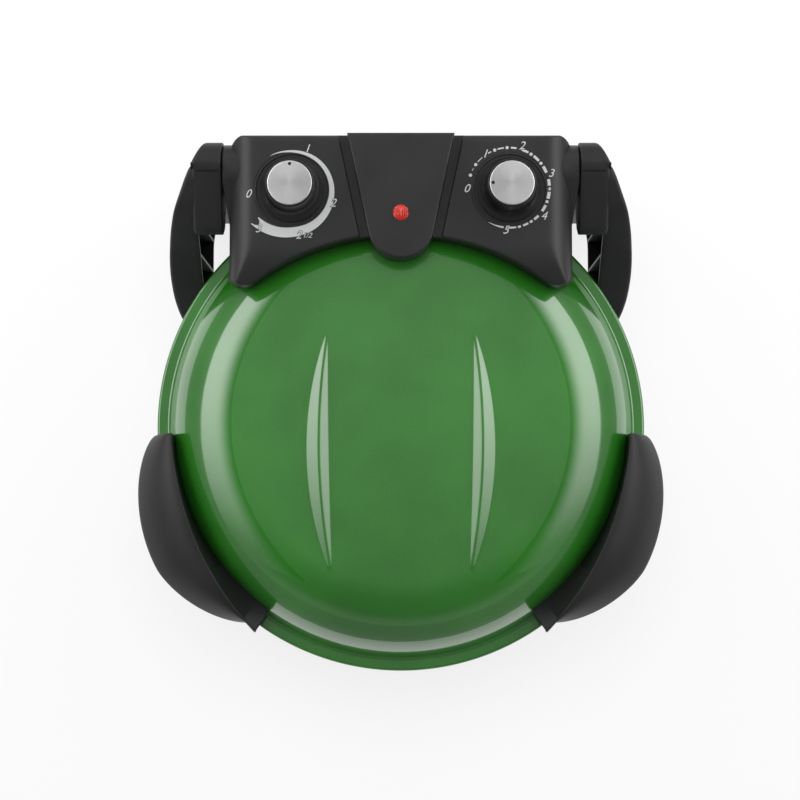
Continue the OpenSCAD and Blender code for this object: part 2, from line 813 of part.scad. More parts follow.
module arm_screws() {
    color("silver") in_frame() both_sides() for (drop = [arm_screw_z, arm_screw_z + arm_screw_gap]) {
        rotate([0, 0, arm_screw_a])
            translate([skin_r(drop + screw_head_r) - 1.5 * sheet_t - 0.2, 0, parting_z - drop]) screw_x(22);
    }
}

module hinge_pins() {
    color("lightgray") in_frame() both_sides() translate([0, hinge_y, hinge_z])
        rod_x(pin_in_x, pin_in_x + pin_len, pin_r);
}

// ---- Lid handles ----

function wing_u(a) = a < wing_mid_a
    ? min(1, (wing_mid_a - a) / wing_rear_span) : min(1, (a - wing_mid_a) / wing_front_span);
function wing_bulge(a) = a < wing_mid_a
    ? pow(max(0, 1 - pow(wing_u(a), 1.6)), 0.7) : pow(max(0, 1 - pow(wing_u(a), 1.5)), 0.8);
function wing_in_r(a) = rim_r - wing_inset + wing_drift * pow(max(0, (a - 12) / 43), 1.7);
function wing_out_r(a) = max(rim_r + wing_reach * wing_bulge(a), wing_in_r(a) + wing_wall + 0.2);
function wing_crest(a) = wing_top - 14 * pow(abs(a - 24) / 31, 2.2);
function wing_face(s) = 1 - pow(s, 1.7);

// Sections of the handle from rear to front; each runs up the leaning inner wall, over the crest to the lip
module wing_loft(a0, a1, inset, low) {
    stations = 30;
    face_steps = 8;
    count = face_steps + 3;
    function section(a) = let (
            ri = wing_in_r(a) + inset,
            ro = max(wing_out_r(a) - inset, ri + 0.5),
            zl = wing_lip - inset,
            rise = wing_crest(a) - wing_lip,
            rz = concat([[rim_r - wing_inset + inset, low]],
                [for (k = [0:face_steps]) let (s = k / face_steps)
                    [ri + (ro - ri) * s, zl + rise * wing_face(s)]],
                [[ro, low]]))
        [for (p = rz) [-p[0] * cos(a), -p[0] * sin(a), p[1]]];
    pts = [for (i = [0:stations]) each section(a0 + (a1 - a0) * i / stations)];
    sides = [for (i = [0:stations - 1], k = [0:count - 1], half = [0, 1])
        let (a = count * i + k, b = count * i + (k + 1) % count)
        half == 0 ? [b, a, b + count] : [b + count, a, a + count]];
    first = [for (k = [1:count - 2]) [0, k, k + 1]];
    base = count * stations;
    last = [for (k = [1:count - 2]) [base, base + k + 1, base + k]];
    polyhedron(points = pts, faces = concat(sides, first, last), convexity = 6);
}

module wing_screws_at() {
    for (a = wing_screw_a) {
        at_left(a) translate([0, 0, wing_screw_z]) children();
    }
}

module lid_handle() {
    over_parting() difference() {
        wing_loft(wing_mid_a - wing_rear_span, wing_mid_a + wing_front_span + wing_tail, 0, wing_low);
        difference() {
            wing_loft(wing_mid_a - wing_rear_span + 5, wing_mid_a + wing_front_span - 7, wing_wall, -1);
            for (a = wing_screw_a) {
                at_left(a) translate([rim_r - wing_inset - 5, -1.5, 0]) cube([60, 3, dish_h]);
            }
            wing_screws_at() rod_x(rim_r - wing_inset - 5, rim_r + 10, screw_r + 3);
        }
        dish_space(seat_gap);
        wing_screws_at() rod_x(0, rim_r + 7, screw_r);
    }
}

module lid_handle_left() {
    color("#262626") in_frame() lid_handle();
}

module lid_handle_right() {
    color("#262626") in_frame() mirror([1, 0, 0]) lid_handle();
}

module lid_handle_screws() {
    head_x = skin_r(wing_screw_z + screw_head_r) - sheet_t - 0.3;
    color("silver") in_frame() over_parting() both_sides() wing_screws_at() translate([head_x, 0, 0])
        screw_x(18);
}

// ---- Control panel ----

// The panel's outer form moved inward by inset: plan, rolled ends, rolled rear edge and the fall in front
module panel_form(inset) {
    w = panel_half_w - inset;
    rear = panel_rear_y - inset;
    top = panel_top - inset;
    intersection() {
        translate([0, 0, inset > 0 ? 0 : panel_low]) linear_extrude(far) difference() {
            rounded_rect(-w, w, panel_front_y + inset, rear, panel_corner);
            translate([0, panel_front_c]) circle(panel_front_r + inset, $fn = 180);
        }
        translate([0, far, 0]) rotate([90, 0, 0]) linear_extrude(2 * far)
            rounded_rect(-w, w, panel_low - panel_end_roll - 5, top, panel_end_roll);
        translate([-far, 0, 0]) rotate([90, 0, 90]) linear_extrude(2 * far) difference() {
            rounded_rect(0, rear, panel_low - panel_rear_roll - 5, top, panel_rear_roll);
            panel_fall(inset);
        }
    }
}

// Side view of what the front corners lack over their falling top
module panel_fall(inset) {
    fall_y = hinge_y - panel_fall_fore;
    difference() {
        translate([fall_y - panel_front_roll, panel_top - panel_front_roll])
            square([panel_front_roll, panel_front_roll + 1]);
        translate([fall_y, panel_top - panel_front_roll]) circle(panel_front_roll - inset, $fn = 180);
    }
}

// Plan of the centre console, grown by extra: a round nose with both sides tangent to it
module console_plan(extra) {
    nose_c = [0, console_tip_y + console_nose_r];
    to_rear = [console_rear_w, panel_rear_y - nose_c[1]];
    turn = atan2(to_rear[1], to_rear[0]) - acos(console_nose_r / norm(to_rear));
    nose = arc_pts(nose_c, console_nose_r + extra, turn, -180 - turn, 24);
    side_len = (panel_rear_y + 1 - nose[0][1]) / cos(turn);
    rear_x = nose[0][0] - side_len * sin(turn);
    polygon(concat(nose, [[-rear_x, panel_rear_y + 1], [rear_x, panel_rear_y + 1]]));
}

module knob_places() {
    both_sides() translate([knob_x, knob_y, 0]) children();
}

module barrel(r) {
    translate([0, hinge_y, hinge_z]) rod_x(panel_half_w - 12, arm_head_x - barrel_gap, r);
}

module control_panel() {
    color("#333335") in_frame() difference() {
        union() {
            difference() {
                panel_form(0);
                panel_form(panel_wall);
                translate([0, 0, groove_z]) linear_extrude(far) console_plan(groove_w);
            }
            intersection() {
                panel_form(0);
                translate([0, 0, groove_z - panel_wall]) linear_extrude(panel_wall)
                    console_plan(groove_w + panel_wall);
            }
            intersection() {
                panel_form(0);
                translate([0, 0, groove_z - panel_wall]) linear_extrude(groove_d) difference() {
                    console_plan(groove_w + panel_wall);
                    console_plan(groove_w);
                }
            }
            both_sides() barrel(barrel_r);
            intersection() {
                panel_form(eps);
                panel_posts();
            }
        }
        over_parting() dish_space(seat_gap);
        knob_places() {
            translate([0, 0, panel_top - knob_recess]) cylinder(h = 20, r = knob_skirt_r + 2.2);
            cylinder(h = far, r = bush_thread_r + 0.2);
        }
        translate([0, lamp_y, 0]) cylinder(h = far, r = lamp_r + 1.2);
        both_sides() barrel_bore();
        both_sides() translate([panel_boss[0], panel_boss[1], 0]) cylinder(h = groove_z - 8, r = screw_r);
        bottom_screw_places() cylinder(h = panel_low + 22, r = screw_r);
    }
}

module barrel_bore() {
    translate([0, hinge_y, hinge_z]) rod_x(panel_half_w - 20, far, pin_r + run_gap + bush_wall);
}

// Posts that take the screws from the lid and from the bottom cover
module panel_posts() {
    both_sides() translate([panel_boss[0], panel_boss[1], parting_z])
        cylinder(h = panel_top - parting_z, r = 5);
    bottom_screw_places() translate([0, 0, panel_low + bottom_t])
        cylinder(h = panel_top - panel_low - bottom_t, r = 4.5);
}

module bottom_screw_places() {
    for (x = [-panel_half_w + 20, panel_half_w - 20]) {
        translate([x, panel_rear_y - 15, 0]) children();
    }
}

module panel_bottom() {
    color("#2b2b2d") in_frame() difference() {
        translate([0, 0, panel_low]) linear_extrude(bottom_t) difference() {
            rounded_rect(-panel_half_w + bottom_in, panel_half_w - bottom_in, panel_front_y + 20,
                panel_rear_y - bottom_in, panel_corner);
            circle(skin_r(flange_z + panel_under) + 2, $fn = 180);
        }
        bottom_screw_places() cylinder(h = far, r = screw_r + 0.2);
    }
}

module panel_screws() {
    color("silver") in_frame() {
        bottom_screw_places() translate([0, 0, panel_low]) rotate([0, -90, 0]) screw_x(16);
        both_sides() translate([panel_boss[0], panel_boss[1], boss_screw_z]) rotate([0, -90, 0]) screw_x(12);
    }
}

// A hollow cover with a raised top; its nose reaches down to the lid in front of the panel
module centre_console() {
    color("#303032") in_frame() difference() {
        intersection() {
            translate([0, 0, parting_z]) linear_extrude(console_top - parting_z) console_plan(0);
            translate([-far, -far, 0]) cube([2 * far, far + panel_rear_y, far]);
        }
        difference() {
            translate([0, 0, parting_z]) linear_extrude(console_top - panel_wall - parting_z)
                console_plan(-panel_wall);
            translate([-far, panel_rear_y - panel_wall, 0]) cube([2 * far, far, far]);
        }
        over_parting() dish_space(seat_gap);
        difference() {
            translate([-far, 0, 0]) cube([2 * far, far, groove_z + 0.02]);
            translate([0, panel_front_c, 0]) cylinder(h = far, r = panel_front_r - seat_gap, $fn = 180);
        }
        translate([0, lamp_y, 0]) cylinder(h = far, r = lamp_r + 0.1);
    }
}

// Split bushes in the panel's barrels, on which the lid turns
module hinge_bushes() {
    color("goldenrod") in_frame() both_sides() translate([0, hinge_y, hinge_z]) difference() {
        rod_x(panel_half_w - 12, arm_head_x - barrel_gap, pin_r + run_gap + bush_wall - 0.02);
        rod_x(0, far, pin_r + run_gap);
    }
}

// ---- Lamp and controls ----

module lamp_lens() {
    color("red") in_frame() translate([0, lamp_y, 0]) rotate_extrude() polygon([
        [0, console_top - panel_wall], [lamp_r + 1, console_top - panel_wall - 1.5],
        [lamp_r + 1, console_top - panel_wall - 0.05], [lamp_r, console_top - panel_wall - 0.05],
        [lamp_r, console_top + 1.6], [lamp_r - 1.2, console_top + 2.6], [0, console_top + 3]]);
}

module lamp_holder() {
    color("ivory") in_frame() translate([0, lamp_y, lamp_low])
        cylinder(h = console_top - panel_wall - 1.6 - lamp_low, r = lamp_r - 0.8);
}

module control_bush() {
    difference() {
        cylinder(h = bush_len, r = bush_thread_r);
        translate([0, 0, -1]) cylinder(h = bush_len + 2, r = shaft_r + run_gap);
    }
}

module thermostat() {
    body = 28;
    color("tan") in_frame() translate([-knob_x, knob_y, control_z]) {
        difference() {
            translate([-body / 2, -body / 2, -thermostat_h]) cube([body, body, thermostat_h]);
            translate([0, 0, -shaft_deep - 0.4]) cylinder(h = far, r = shaft_r + run_gap);
        }
        control_bush();
    }
}

module timer() {
    color("gainsboro") in_frame() translate([knob_x, knob_y, control_z]) {
        difference() {
            translate([0, 0, -timer_h]) cylinder(h = timer_h, r = 20);
            translate([0, 0, -shaft_deep - 0.4]) cylinder(h = far, r = shaft_r + run_gap);
        }
        control_bush();
    }
}

module timer_bell() {
    color("silver") in_frame() translate([knob_x, knob_y, control_z - timer_h - 0.05]) difference() {
        translate([0, 0, -9]) cylinder(h = 9, r = 14);
        translate([0, 0, -10]) difference() {
            cylinder(h = 9, r = 12.8);
            cylinder(h = 12, r = 3);
        }
    }
}

module control_nut() {
    difference() {
        cylinder(h = 2.4, r = 7.5, $fn = 6);
        translate([0, 0, -1]) cylinder(h = 5, r = bush_thread_r + 0.05, $fn = 48);
    }
}

module thermostat_nut() {
    color("silver") in_frame() translate([-knob_x, knob_y, panel_top - knob_recess]) control_nut();
}

module timer_nut() {
    color("silver") in_frame() translate([knob_x, knob_y, panel_top - knob_recess]) control_nut();
}

module panel_terminal_block() {
    color("ivory") in_frame() translate([0, panel_rear_y - 16, panel_low + bottom_t]) difference() {
        translate([-20, -6, 0]) cube([40, 12, 14]);
        for (x = [-12, 0, 12]) {
            translate([x, 0, 7]) rotate([90, 0, 0]) cylinder(h = 30, r = 2.2, center = true, $fn = 24);
        }
    }
}

// ---- Knobs ----

module control_shaft() {
    translate([0, 0, control_z - shaft_deep])
        cylinder(h = knob_top - cap_t - 4 - control_z + shaft_deep, r = shaft_r);
}

// Flared skirt, waisted grip, a hollow for the nut and a hub on the shaft
module knob_body() {
    skirt_t = 1.6;
    top = knob_top - cap_t;
    difference() {
        rotate_extrude() polygon(concat(
            [[0, knob_z], [knob_skirt_r - 0.6, knob_z], [knob_skirt_r, knob_z + 0.6],
             [knob_skirt_r, knob_z + skirt_t]],
            [for (i = [1:8]) let (s = i / 8)
                [knob_grip_r + 0.7 + (knob_skirt_r - knob_grip_r - 0.7) * pow(1 - s, 1.8),
                    knob_z + skirt_t + 9 * s]],
            [[knob_grip_r, top - 1], [knob_grip_r - 0.8, top], [0, top]]));
        difference() {
            translate([0, 0, knob_z - 1]) cylinder(h = 12.5, r = 13.5);
            translate([0, 0, panel_top + 9]) cylinder(h = 20, r = shaft_r + 2.5);
        }
        cylinder(h = knob_top - cap_t - 3.9, r = shaft_r + 0.02);
        translate([0, 0, top - 0.8]) cylinder(h = 5, r = cap_r + 0.05);
    }
}

// Pressed metal disc with a bevelled edge, a bore for the pointer dot at its rim
module knob_cap() {
    low = knob_top - cap_t - 0.8;
    difference() {
        rotate_extrude() polygon([[0, low], [cap_r, low], [cap_r, knob_top - 0.9], [cap_r - 1, knob_top],
            [0, knob_top]]);
        translate([cap_r - 2.6, 0, knob_top - 0.5]) cylinder(h = 2, r = 1.1, $fn = 32);
    }
}

module temperature_place() {
    translate([-knob_x, knob_y, 0]) rotate([0, 0, temperature_pointer]) children();
}

module timer_place() {
    translate([knob_x, knob_y, 0]) rotate([0, 0, timer_pointer]) children();
}

module temperature_shaft() {
    color("lightgray") in_frame() temperature_place() control_shaft();
}

module temperature_knob() {
    color("#151515") in_frame() temperature_place() knob_body();
}

module temperature_cap() {
    color("silver") in_frame() temperature_place() knob_cap();
}

module timer_shaft() {
    color("lightgray") in_frame() timer_place() control_shaft();
}

module timer_knob() {
    color("#151515") in_frame() timer_place() knob_body();
}

module timer_cap() {
    color("silver") in_frame() timer_place() knob_cap();
}

// Places and small sizes shared by two or more pieces
screw_head_r = 2.8;
heater_gap_a = 9;
heater_hole_gap = 0.7;
heater_leg = 17;
wool_gap = 0.5;
wool_r = liner_r;
wool_low = flange_z + 5;
base_wool_low = flange_z + 22;
wire_hole_y = rim_r - 34;
wire_hole_r = 6;
clip_t = 1.2;
clip_w = 14;
clip_screw_r = liner_r + 5;
terminal_x = 0;
terminal_half = 20;
terminal_y = crown_edge_r - 19;
terminal_z = parting_z - skin_z(norm([terminal_x + terminal_half, terminal_y + 8])) + sheet_t + 0.6;
terminal_h = 12;
inlet_drop = 32;
inlet_z = parting_z - inlet_drop;
inlet_y = skin_r(inlet_drop);
inlet_body_r = inlet_r + 2.4;
inlet_inside = 8;
inlet_outside = 16;
inlet_collar = 8;
leg_screw_z = 28;
leg_in_r = crown_edge_r + 36;
leg_in_z = parting_z - skin_z(leg_in_r) - 4;
leg_foot_in = leg_out_r - 26;
leg_foot_out = leg_out_r - 6;
leg_foot_mid = (leg_foot_in + leg_foot_out) / 2;
foot_sunk = 1;
arm_front_y = hinge_y - arm_len;
arm_low = 22;
arm_foot_x = arm_head_x + arm_wall + foot_r + 3.3;
arm_foot_y = hinge_y;
arm_screw_a = 29;
arm_screw_z = stone_drop + stone_t + liner_t + screw_head_r + 1.2;
arm_screw_gap = 11;
lug_w = 20;
lug_in_r = crown_edge_r + 30;
pin_in_x = panel_half_w - 11;
wing_screw_a = [14, 40];
wing_screw_z = 11;
wing_low = 5.5;
boss_x = 42;
panel_boss = [boss_x, panel_front_c + sqrt(pow(panel_front_r + 5.3, 2) - boss_x * boss_x)];
bottom_t = 2.5;
bottom_in = panel_wall + 0.3;
boss_screw_z = parting_z + skin_z(norm(panel_boss)) - sheet_t - 2.2;
bush_thread_r = 4.6;
bush_len = 8;
control_z = panel_top - panel_wall;
shaft_deep = 14;
thermostat_h = 22;
timer_h = 24;
lamp_low = parting_z + skin_z(lamp_y) + 6;

base_shell();
base_liner();
base_insulation();
lower_heater();
lower_heater_clips();
baking_stone();
stone_clips();
stone_clip_screws();
base_terminal_block();
cord_inlet();
front_leg_left();
front_leg_right();
front_leg_screws();
hinge_arm_left();
hinge_arm_right();
arm_screws();
hinge_pins();
feet();
lid_shell();
lid_liner();
lid_insulation();
upper_heater();
upper_heater_clips();
lid_handle_left();
lid_handle_right();
lid_handle_screws();
control_panel();
centre_console();
panel_bottom();
panel_screws();
hinge_bushes();
lamp_lens();
lamp_holder();
thermostat();
thermostat_nut();
timer();
timer_nut();
timer_bell();
panel_terminal_block();
temperature_shaft();
temperature_knob();
temperature_cap();
timer_shaft();
timer_knob();
timer_cap();
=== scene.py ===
"""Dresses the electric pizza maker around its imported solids: enamelled dishes, moulded panel, knobs and grips.

Shapes are worked out in millimetres about the oven's vertical axis, with Z up from the counter and +Y to the
rear, and oven() moves them into the frame in metres.
"""
import json
import math

import bmesh
import bpy
import numpy as np
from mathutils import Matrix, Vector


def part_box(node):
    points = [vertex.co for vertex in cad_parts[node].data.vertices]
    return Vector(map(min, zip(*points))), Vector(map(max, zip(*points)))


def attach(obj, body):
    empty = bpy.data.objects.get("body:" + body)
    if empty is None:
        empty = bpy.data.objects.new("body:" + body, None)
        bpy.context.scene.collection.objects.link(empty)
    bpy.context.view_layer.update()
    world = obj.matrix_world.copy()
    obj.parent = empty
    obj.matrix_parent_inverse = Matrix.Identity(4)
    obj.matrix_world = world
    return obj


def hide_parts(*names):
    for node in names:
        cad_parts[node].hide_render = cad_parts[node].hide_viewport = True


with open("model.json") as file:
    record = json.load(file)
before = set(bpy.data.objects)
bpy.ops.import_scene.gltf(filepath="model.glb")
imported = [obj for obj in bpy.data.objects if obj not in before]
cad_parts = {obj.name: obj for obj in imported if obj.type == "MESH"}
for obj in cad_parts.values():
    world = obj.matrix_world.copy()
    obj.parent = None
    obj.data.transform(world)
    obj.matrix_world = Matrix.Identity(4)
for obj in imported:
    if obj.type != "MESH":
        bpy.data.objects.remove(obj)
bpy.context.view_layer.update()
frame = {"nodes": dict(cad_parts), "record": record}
SCENE = bpy.context.scene
MM = 0.001

# ---- Camera: the photograph looks steeply down from the front ----

VIEW_ELEVATION = math.radians(86)
VIEW_TARGET = (-0.0006, 0.0075, 0.09)
VIEW_DISTANCE = 1.25
LENS = 75.8

camera = bpy.data.objects.new("camera", bpy.data.cameras.new("camera"))
SCENE.collection.objects.link(camera)
camera.location = (
    VIEW_TARGET[0],
    VIEW_TARGET[1] - VIEW_DISTANCE * math.cos(VIEW_ELEVATION),
    VIEW_TARGET[2] + VIEW_DISTANCE * math.sin(VIEW_ELEVATION),
)
camera.rotation_euler = (math.pi / 2 - VIEW_ELEVATION, 0, 0)
camera.data.lens = LENS
camera.data.sensor_width = 36
camera.data.clip_end = 20
SCENE.camera = camera
SCENE.view_settings.view_transform = "Standard"

# ---- Sizes in millimetres: the solids' own, except where a comment says otherwise ----

LID_LOW, LID_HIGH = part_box("lid_shell")
AXIS_Y = (LID_LOW.y + LID_HIGH.y) / 2
RIM_R = (LID_HIGH.x - LID_LOW.x) / 2 / MM
BASE_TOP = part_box("base_shell")[1].z / MM
RIM_GAP = LID_LOW.z / MM - BASE_TOP
PARTING = BASE_TOP + RIM_GAP / 2

DISH_H = 60
CROWN_RAD = 1285
CROWN_EDGE = RIM_R - 66
CROWN_TILT = math.degrees(math.asin(CROWN_EDGE / CROWN_RAD))
SHOULDER_RAD = 62
FLANK_TILT = 68
RIM_FILLET = 3
BEAD = 2.3
SHEET = 1.2
FLANGE_Z = RIM_GAP / 2 + 2 * BEAD
SEAT_GAP = 0.3


def cosd(a):
    """Cosine of an angle in degrees."""
    return math.cos(math.radians(a))


def sind(a):
    """Sine of an angle in degrees."""
    return math.sin(math.radians(a))


SHOULDER_C = (
    CROWN_EDGE - SHOULDER_RAD * sind(CROWN_TILT),
    DISH_H - CROWN_RAD * (1 - cosd(CROWN_TILT)) - SHOULDER_RAD * cosd(CROWN_TILT),
)
FLANK_TOP = (SHOULDER_C[0] + SHOULDER_RAD * sind(FLANK_TILT), SHOULDER_C[1] + SHOULDER_RAD * cosd(FLANK_TILT))
FILLET_Z = FLANGE_Z + RIM_FILLET
FILLET_C = (
    FLANK_TOP[0] + (RIM_FILLET - (FILLET_Z - FLANK_TOP[1]) * cosd(FLANK_TILT)) / sind(FLANK_TILT),
    FILLET_Z,
)

RIDGE_HALF = 92  # 5 longer than the solid's
RIDGE_X = 58
RIDGE_SWEEP = 9
RIDGE_W = 8
RIDGE_H = 4.5
RIDGE_FRONT = 13

HINGE_Y = RIM_R
HINGE_Z = PARTING + 45
CROWN_Z = PARTING + DISH_H

HALF_W = 123
PANEL_REAR = HINGE_Y + 23
PANEL_FRONT_C = -48
PANEL_FRONT_R = 179.8
PANEL_TOP = CROWN_Z + 10
PANEL_LOW = PARTING + FLANGE_Z + 2
PANEL_WALL = 2.5
PANEL_CORNER = 12
PANEL_CORNER_Y = 108.5
CORNER_TOUCH = 104.02  # X at which the front arc runs into the corner's round
END_ROLL = 24  # 9 wider than the solid's
FALL_ROLL = 72
FALL_Y = 133
REAR_ROLL = 6
END_FLARE = 3.6  # only here: the solid's end walls are upright
FLARE_Y = 165
FLARE_EASE = 30
LIP = 0.8
EDGE = 1.4
CONSOLE_REAR_W = 38
NOSE_R = 23.6
NOSE_Y = 114 + NOSE_R
CONSOLE_TOP = PANEL_TOP + 5
GROOVE_W = 6.6
GROOVE_Z = PANEL_TOP - 4
BARREL_END = HALF_W + 4.4
BARREL_R = 20  # 3 more than the solid's round bar
BARREL_FORE = 34

KNOB_X = 77
KNOB_Y = HINGE_Y - 17
KNOB_TOP = PANEL_TOP + 27
SKIRT_R = 23
GRIP_R = 16.9
CAP_R = 15.5
CAP_T = 1.6
CAP_DOME = 0.8
SEAT_R = SKIRT_R + 2.2
SEAT_DROP = 2  # the panel's top dips to the underside of the seat
SEAT_EASE = 1.2
LAMP_Y = 146
LAMP_R = 5.6

# ---- Making pieces ----


def oven(points):
    """Oven coordinates in millimetres to the frame in metres."""
    return np.asarray(points, float).reshape(-1, 3) * MM + np.array([0, AXIS_Y, 0])


def arc(centre, radius, start, end, steps):
    """Points on a circle, from start to end in degrees."""
    a = np.radians(np.linspace(start, end, steps + 1))
    return np.stack([centre[0] + radius * np.cos(a), centre[1] + radius * np.sin(a)], 1)


def rounded(corners, steps=10):
    """A closed outline whose corners (x, y, radius) are rounded: each arc touches both sides of its corner."""
    corners = np.asarray(corners, float)
    out = []
    for before, here, after in zip(np.roll(corners, 1, 0), corners, np.roll(corners, -1, 0)):
        to_a = before[:2] - here[:2]
        to_b = after[:2] - here[:2]
        to_a /= np.linalg.norm(to_a)
        to_b /= np.linalg.norm(to_b)
        half = math.acos(np.clip(to_a @ to_b, -1, 1)) / 2
        mid = (to_a + to_b) / np.linalg.norm(to_a + to_b)
        centre = here[:2] + mid * here[2] / math.sin(half)
        reach = here[2] / math.tan(half)
        first = here[:2] + to_a * reach - centre
        last = here[:2] + to_b * reach - centre
        t = np.linspace(0, 1, steps + 1)[:, None]
        turn = math.acos(np.clip(first @ last / here[2] ** 2, -1, 1))
        blend = (np.sin((1 - t) * turn) * first + np.sin(t * turn) * last) / math.sin(turn)
        out.append(centre + blend)
    return np.concatenate(out)


def resample(outline, step):
    """Points at an even step along a closed outline."""
    closed = np.vstack([outline, outline[:1]])
    length = np.concatenate([[0], np.cumsum(np.linalg.norm(np.diff(closed, axis=0), axis=1))])
    at = np.linspace(0, length[-1], int(length[-1] / step) + 1)[:-1]
    return np.stack([np.interp(at, length, closed[:, k]) for k in (0, 1)], 1)


def shrunk(outline, by):
    """A closed outline moved inward: each point goes along the normal of its neighbours' chord."""
    chord = np.roll(outline, -1, 0) - np.roll(outline, 1, 0)
    normal = np.stack([chord[:, 1], -chord[:, 0]], 1)
    normal /= np.linalg.norm(normal, axis=1)[:, None]
    area = np.sum(outline[:, 0] * np.roll(outline[:, 1], -1) - np.roll(outline[:, 0], -1) * outline[:, 1])
    return outline - normal * by * np.sign(area)


def lathe(profile, centre=(0, 0), steps=96):
    """A profile of (radius, height) turned about a vertical axis: rows follow the profile, columns the turn."""
    r, z = np.asarray(profile, float).T
    a = np.linspace(0, 2 * np.pi, steps, endpoint=False)
    x = centre[0] + r[:, None] * np.cos(a)
    y = centre[1] + r[:, None] * np.sin(a)
    return np.stack([x, y, np.broadcast_to(z[:, None], x.shape)], -1), False, True


def mirrored(patches):
    """The same patches on the other side of the plane X = 0."""
    return [(points * np.array([-1, 1, 1]), rows, cols) for points, rows, cols in patches]


def grid_faces(rows, cols, wrap_rows, wrap_cols):
    """Corner numbers of the four-sided faces of a grid of points."""
    i = np.arange(rows if wrap_rows else rows - 1)[:, None]
    j = np.arange(cols if wrap_cols else cols - 1)[None, :]
    after_i = (i + 1) % rows
    after_j = (j + 1) % cols
    corners = [i * cols + j, i * cols + after_j, after_i * cols + after_j, after_i * cols + j]
    return np.stack(np.broadcast_arrays(*corners), -1).reshape(-1, 4)


def drawn_in(ring, middle, steps):
    """A ring drawn toward a middle in even steps; the last ring has shrunk to it."""
    return [middle + (ring - middle) * t for t in np.linspace(1, 0, steps)[1:]]


def on_plane_x(x, ring):
    """A ring of (y, z) set at x, which is one value or one for each point."""
    return np.column_stack([np.full(len(ring), x), ring])


def finish_piece(piece, finish, body, nodes):
    """Gives a piece its material and the body it moves with, and hides the solids it stands for."""
    material, slot = FINISHES[finish]
    piece.data.materials.clear()
    piece.data.materials.append(material)
    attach(piece, body)
    if nodes:
        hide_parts(*nodes)
    return piece


def build(name, patches, finish, body, nodes=(), sharp=38, weld=0.003):
    """One piece from grids of points. Each patch is (points, wraps along rows, wraps along columns); points closer
    than weld millimetres become one, which closes seams and poles, and the normals are then turned outward."""
    points = []
    faces = []
    count = 0
    for grid, wrap_rows, wrap_cols in patches:
        rows, cols = grid.shape[:2]
        points.append(grid.reshape(-1, 3))
        faces.append(grid_faces(rows, cols, wrap_rows, wrap_cols) + count)
        count += rows * cols
    points = oven(np.concatenate(points))
    faces = np.concatenate(faces)
    mesh = bpy.data.meshes.new(name)
    mesh.vertices.add(len(points))
    mesh.vertices.foreach_set("co", points.ravel())
    mesh.loops.add(faces.size)
    mesh.loops.foreach_set("vertex_index", faces.ravel())
    mesh.polygons.add(len(faces))
    mesh.polygons.foreach_set("loop_start", np.arange(0, faces.size, 4))
    mesh.update(calc_edges=True)
    work = bmesh.new()
    work.from_mesh(mesh)
    bmesh.ops.remove_doubles(work, verts=work.verts, dist=weld * MM)
    bmesh.ops.recalc_face_normals(work, faces=work.faces)
    work.to_mesh(mesh)
    work.free()
    mesh.shade_smooth()
    mesh.set_sharp_from_angle(angle=math.radians(sharp))
    piece = bpy.data.objects.new(name, mesh)
    SCENE.collection.objects.link(piece)
    return finish_piece(piece, finish, body, nodes)


def capped(sections):
    """Closed sections along a path, with both ends filled to their middles."""
    first = sections[0].mean(0)
    last = sections[-1].mean(0)
    ends = [np.broadcast_to(first, sections[0].shape), np.broadcast_to(last, sections[-1].shape)]
    return np.concatenate([ends[0][None], sections, ends[1][None]]), False, True


# ---- Materials ----


def hex_colour(code):
    """An sRGB hex value as linear red, green and blue, fully opaque."""
    values = [int(code[k:k + 2], 16) / 255 for k in (1, 3, 5)]
    linear = [v / 12.92 if v <= 0.04045 else ((v + 0.055) / 1.055) ** 2.4 for v in values]
    return (*linear, 1.0)


def add(tree, kind, settings=None, inputs=None):
    """Adds one node. settings are its own properties; inputs gives a socket a value or a (node, output) link."""
    node = tree.nodes.new(kind)
    for key, value in (settings or {}).items():
        setattr(node, key, value)
    for key, value in (inputs or {}).items():
        if isinstance(value, tuple) and hasattr(value[0], "outputs"):
            tree.links.new(value[0].outputs[value[1]], node.inputs[key])
        else:
            node.inputs[key].default_value = value
    return node


def per_mm(size):
    """Texture scale at which a pattern's features measure size millimetres in object coordinates."""
    return 1 / (size * MM)


def new_material(name, sockets):
    """A material with one principled shader: its tree, the shader and the object coordinates."""
    material = bpy.data.materials.new(name)
    material.use_nodes = True
    tree = material.node_tree
    tree.nodes.clear()
    out = add(tree, "ShaderNodeOutputMaterial")
    shader = add(tree, "ShaderNodeBsdfPrincipled", inputs=sockets)
    tree.links.new(shader.outputs[0], out.inputs["Surface"])
    coords = add(tree, "ShaderNodeTexCoord")
    return material, tree, shader, coords


def noise(tree, coords, size, detail, stretch=(1, 1, 1)):
    """Noise whose blobs measure size millimetres, stretched by the given factors."""
    mapping = add(tree, "ShaderNodeMapping", inputs={"Vector": (coords, "Object"), "Scale": stretch})
    return add(tree, "ShaderNodeTexNoise", inputs={
        "Vector": (mapping, 0), "Scale": per_mm(size), "Detail": detail, "Roughness": 0.5})


def mix_colours(tree, factor, low, high, dark, light):
    """Blends two hex colours by a value between dark and light."""
    ramp = add(tree, "ShaderNodeMapRange", inputs={"Value": factor, "From Min": dark, "From Max": light})
    return add(tree, "ShaderNodeMix", {"data_type": "RGBA"}, {
        "Factor": (ramp, 0), "A": hex_colour(low), "B": hex_colour(high)})


def paint(tree, shader, pattern, low, high, dark=0.3, light=0.7):
    """Colours the surface between two hex colours by a pattern's value between dark and light."""
    colour = mix_colours(tree, (pattern, 0), low, high, dark, light)
    tree.links.new(colour.outputs[2], shader.inputs["Base Color"])


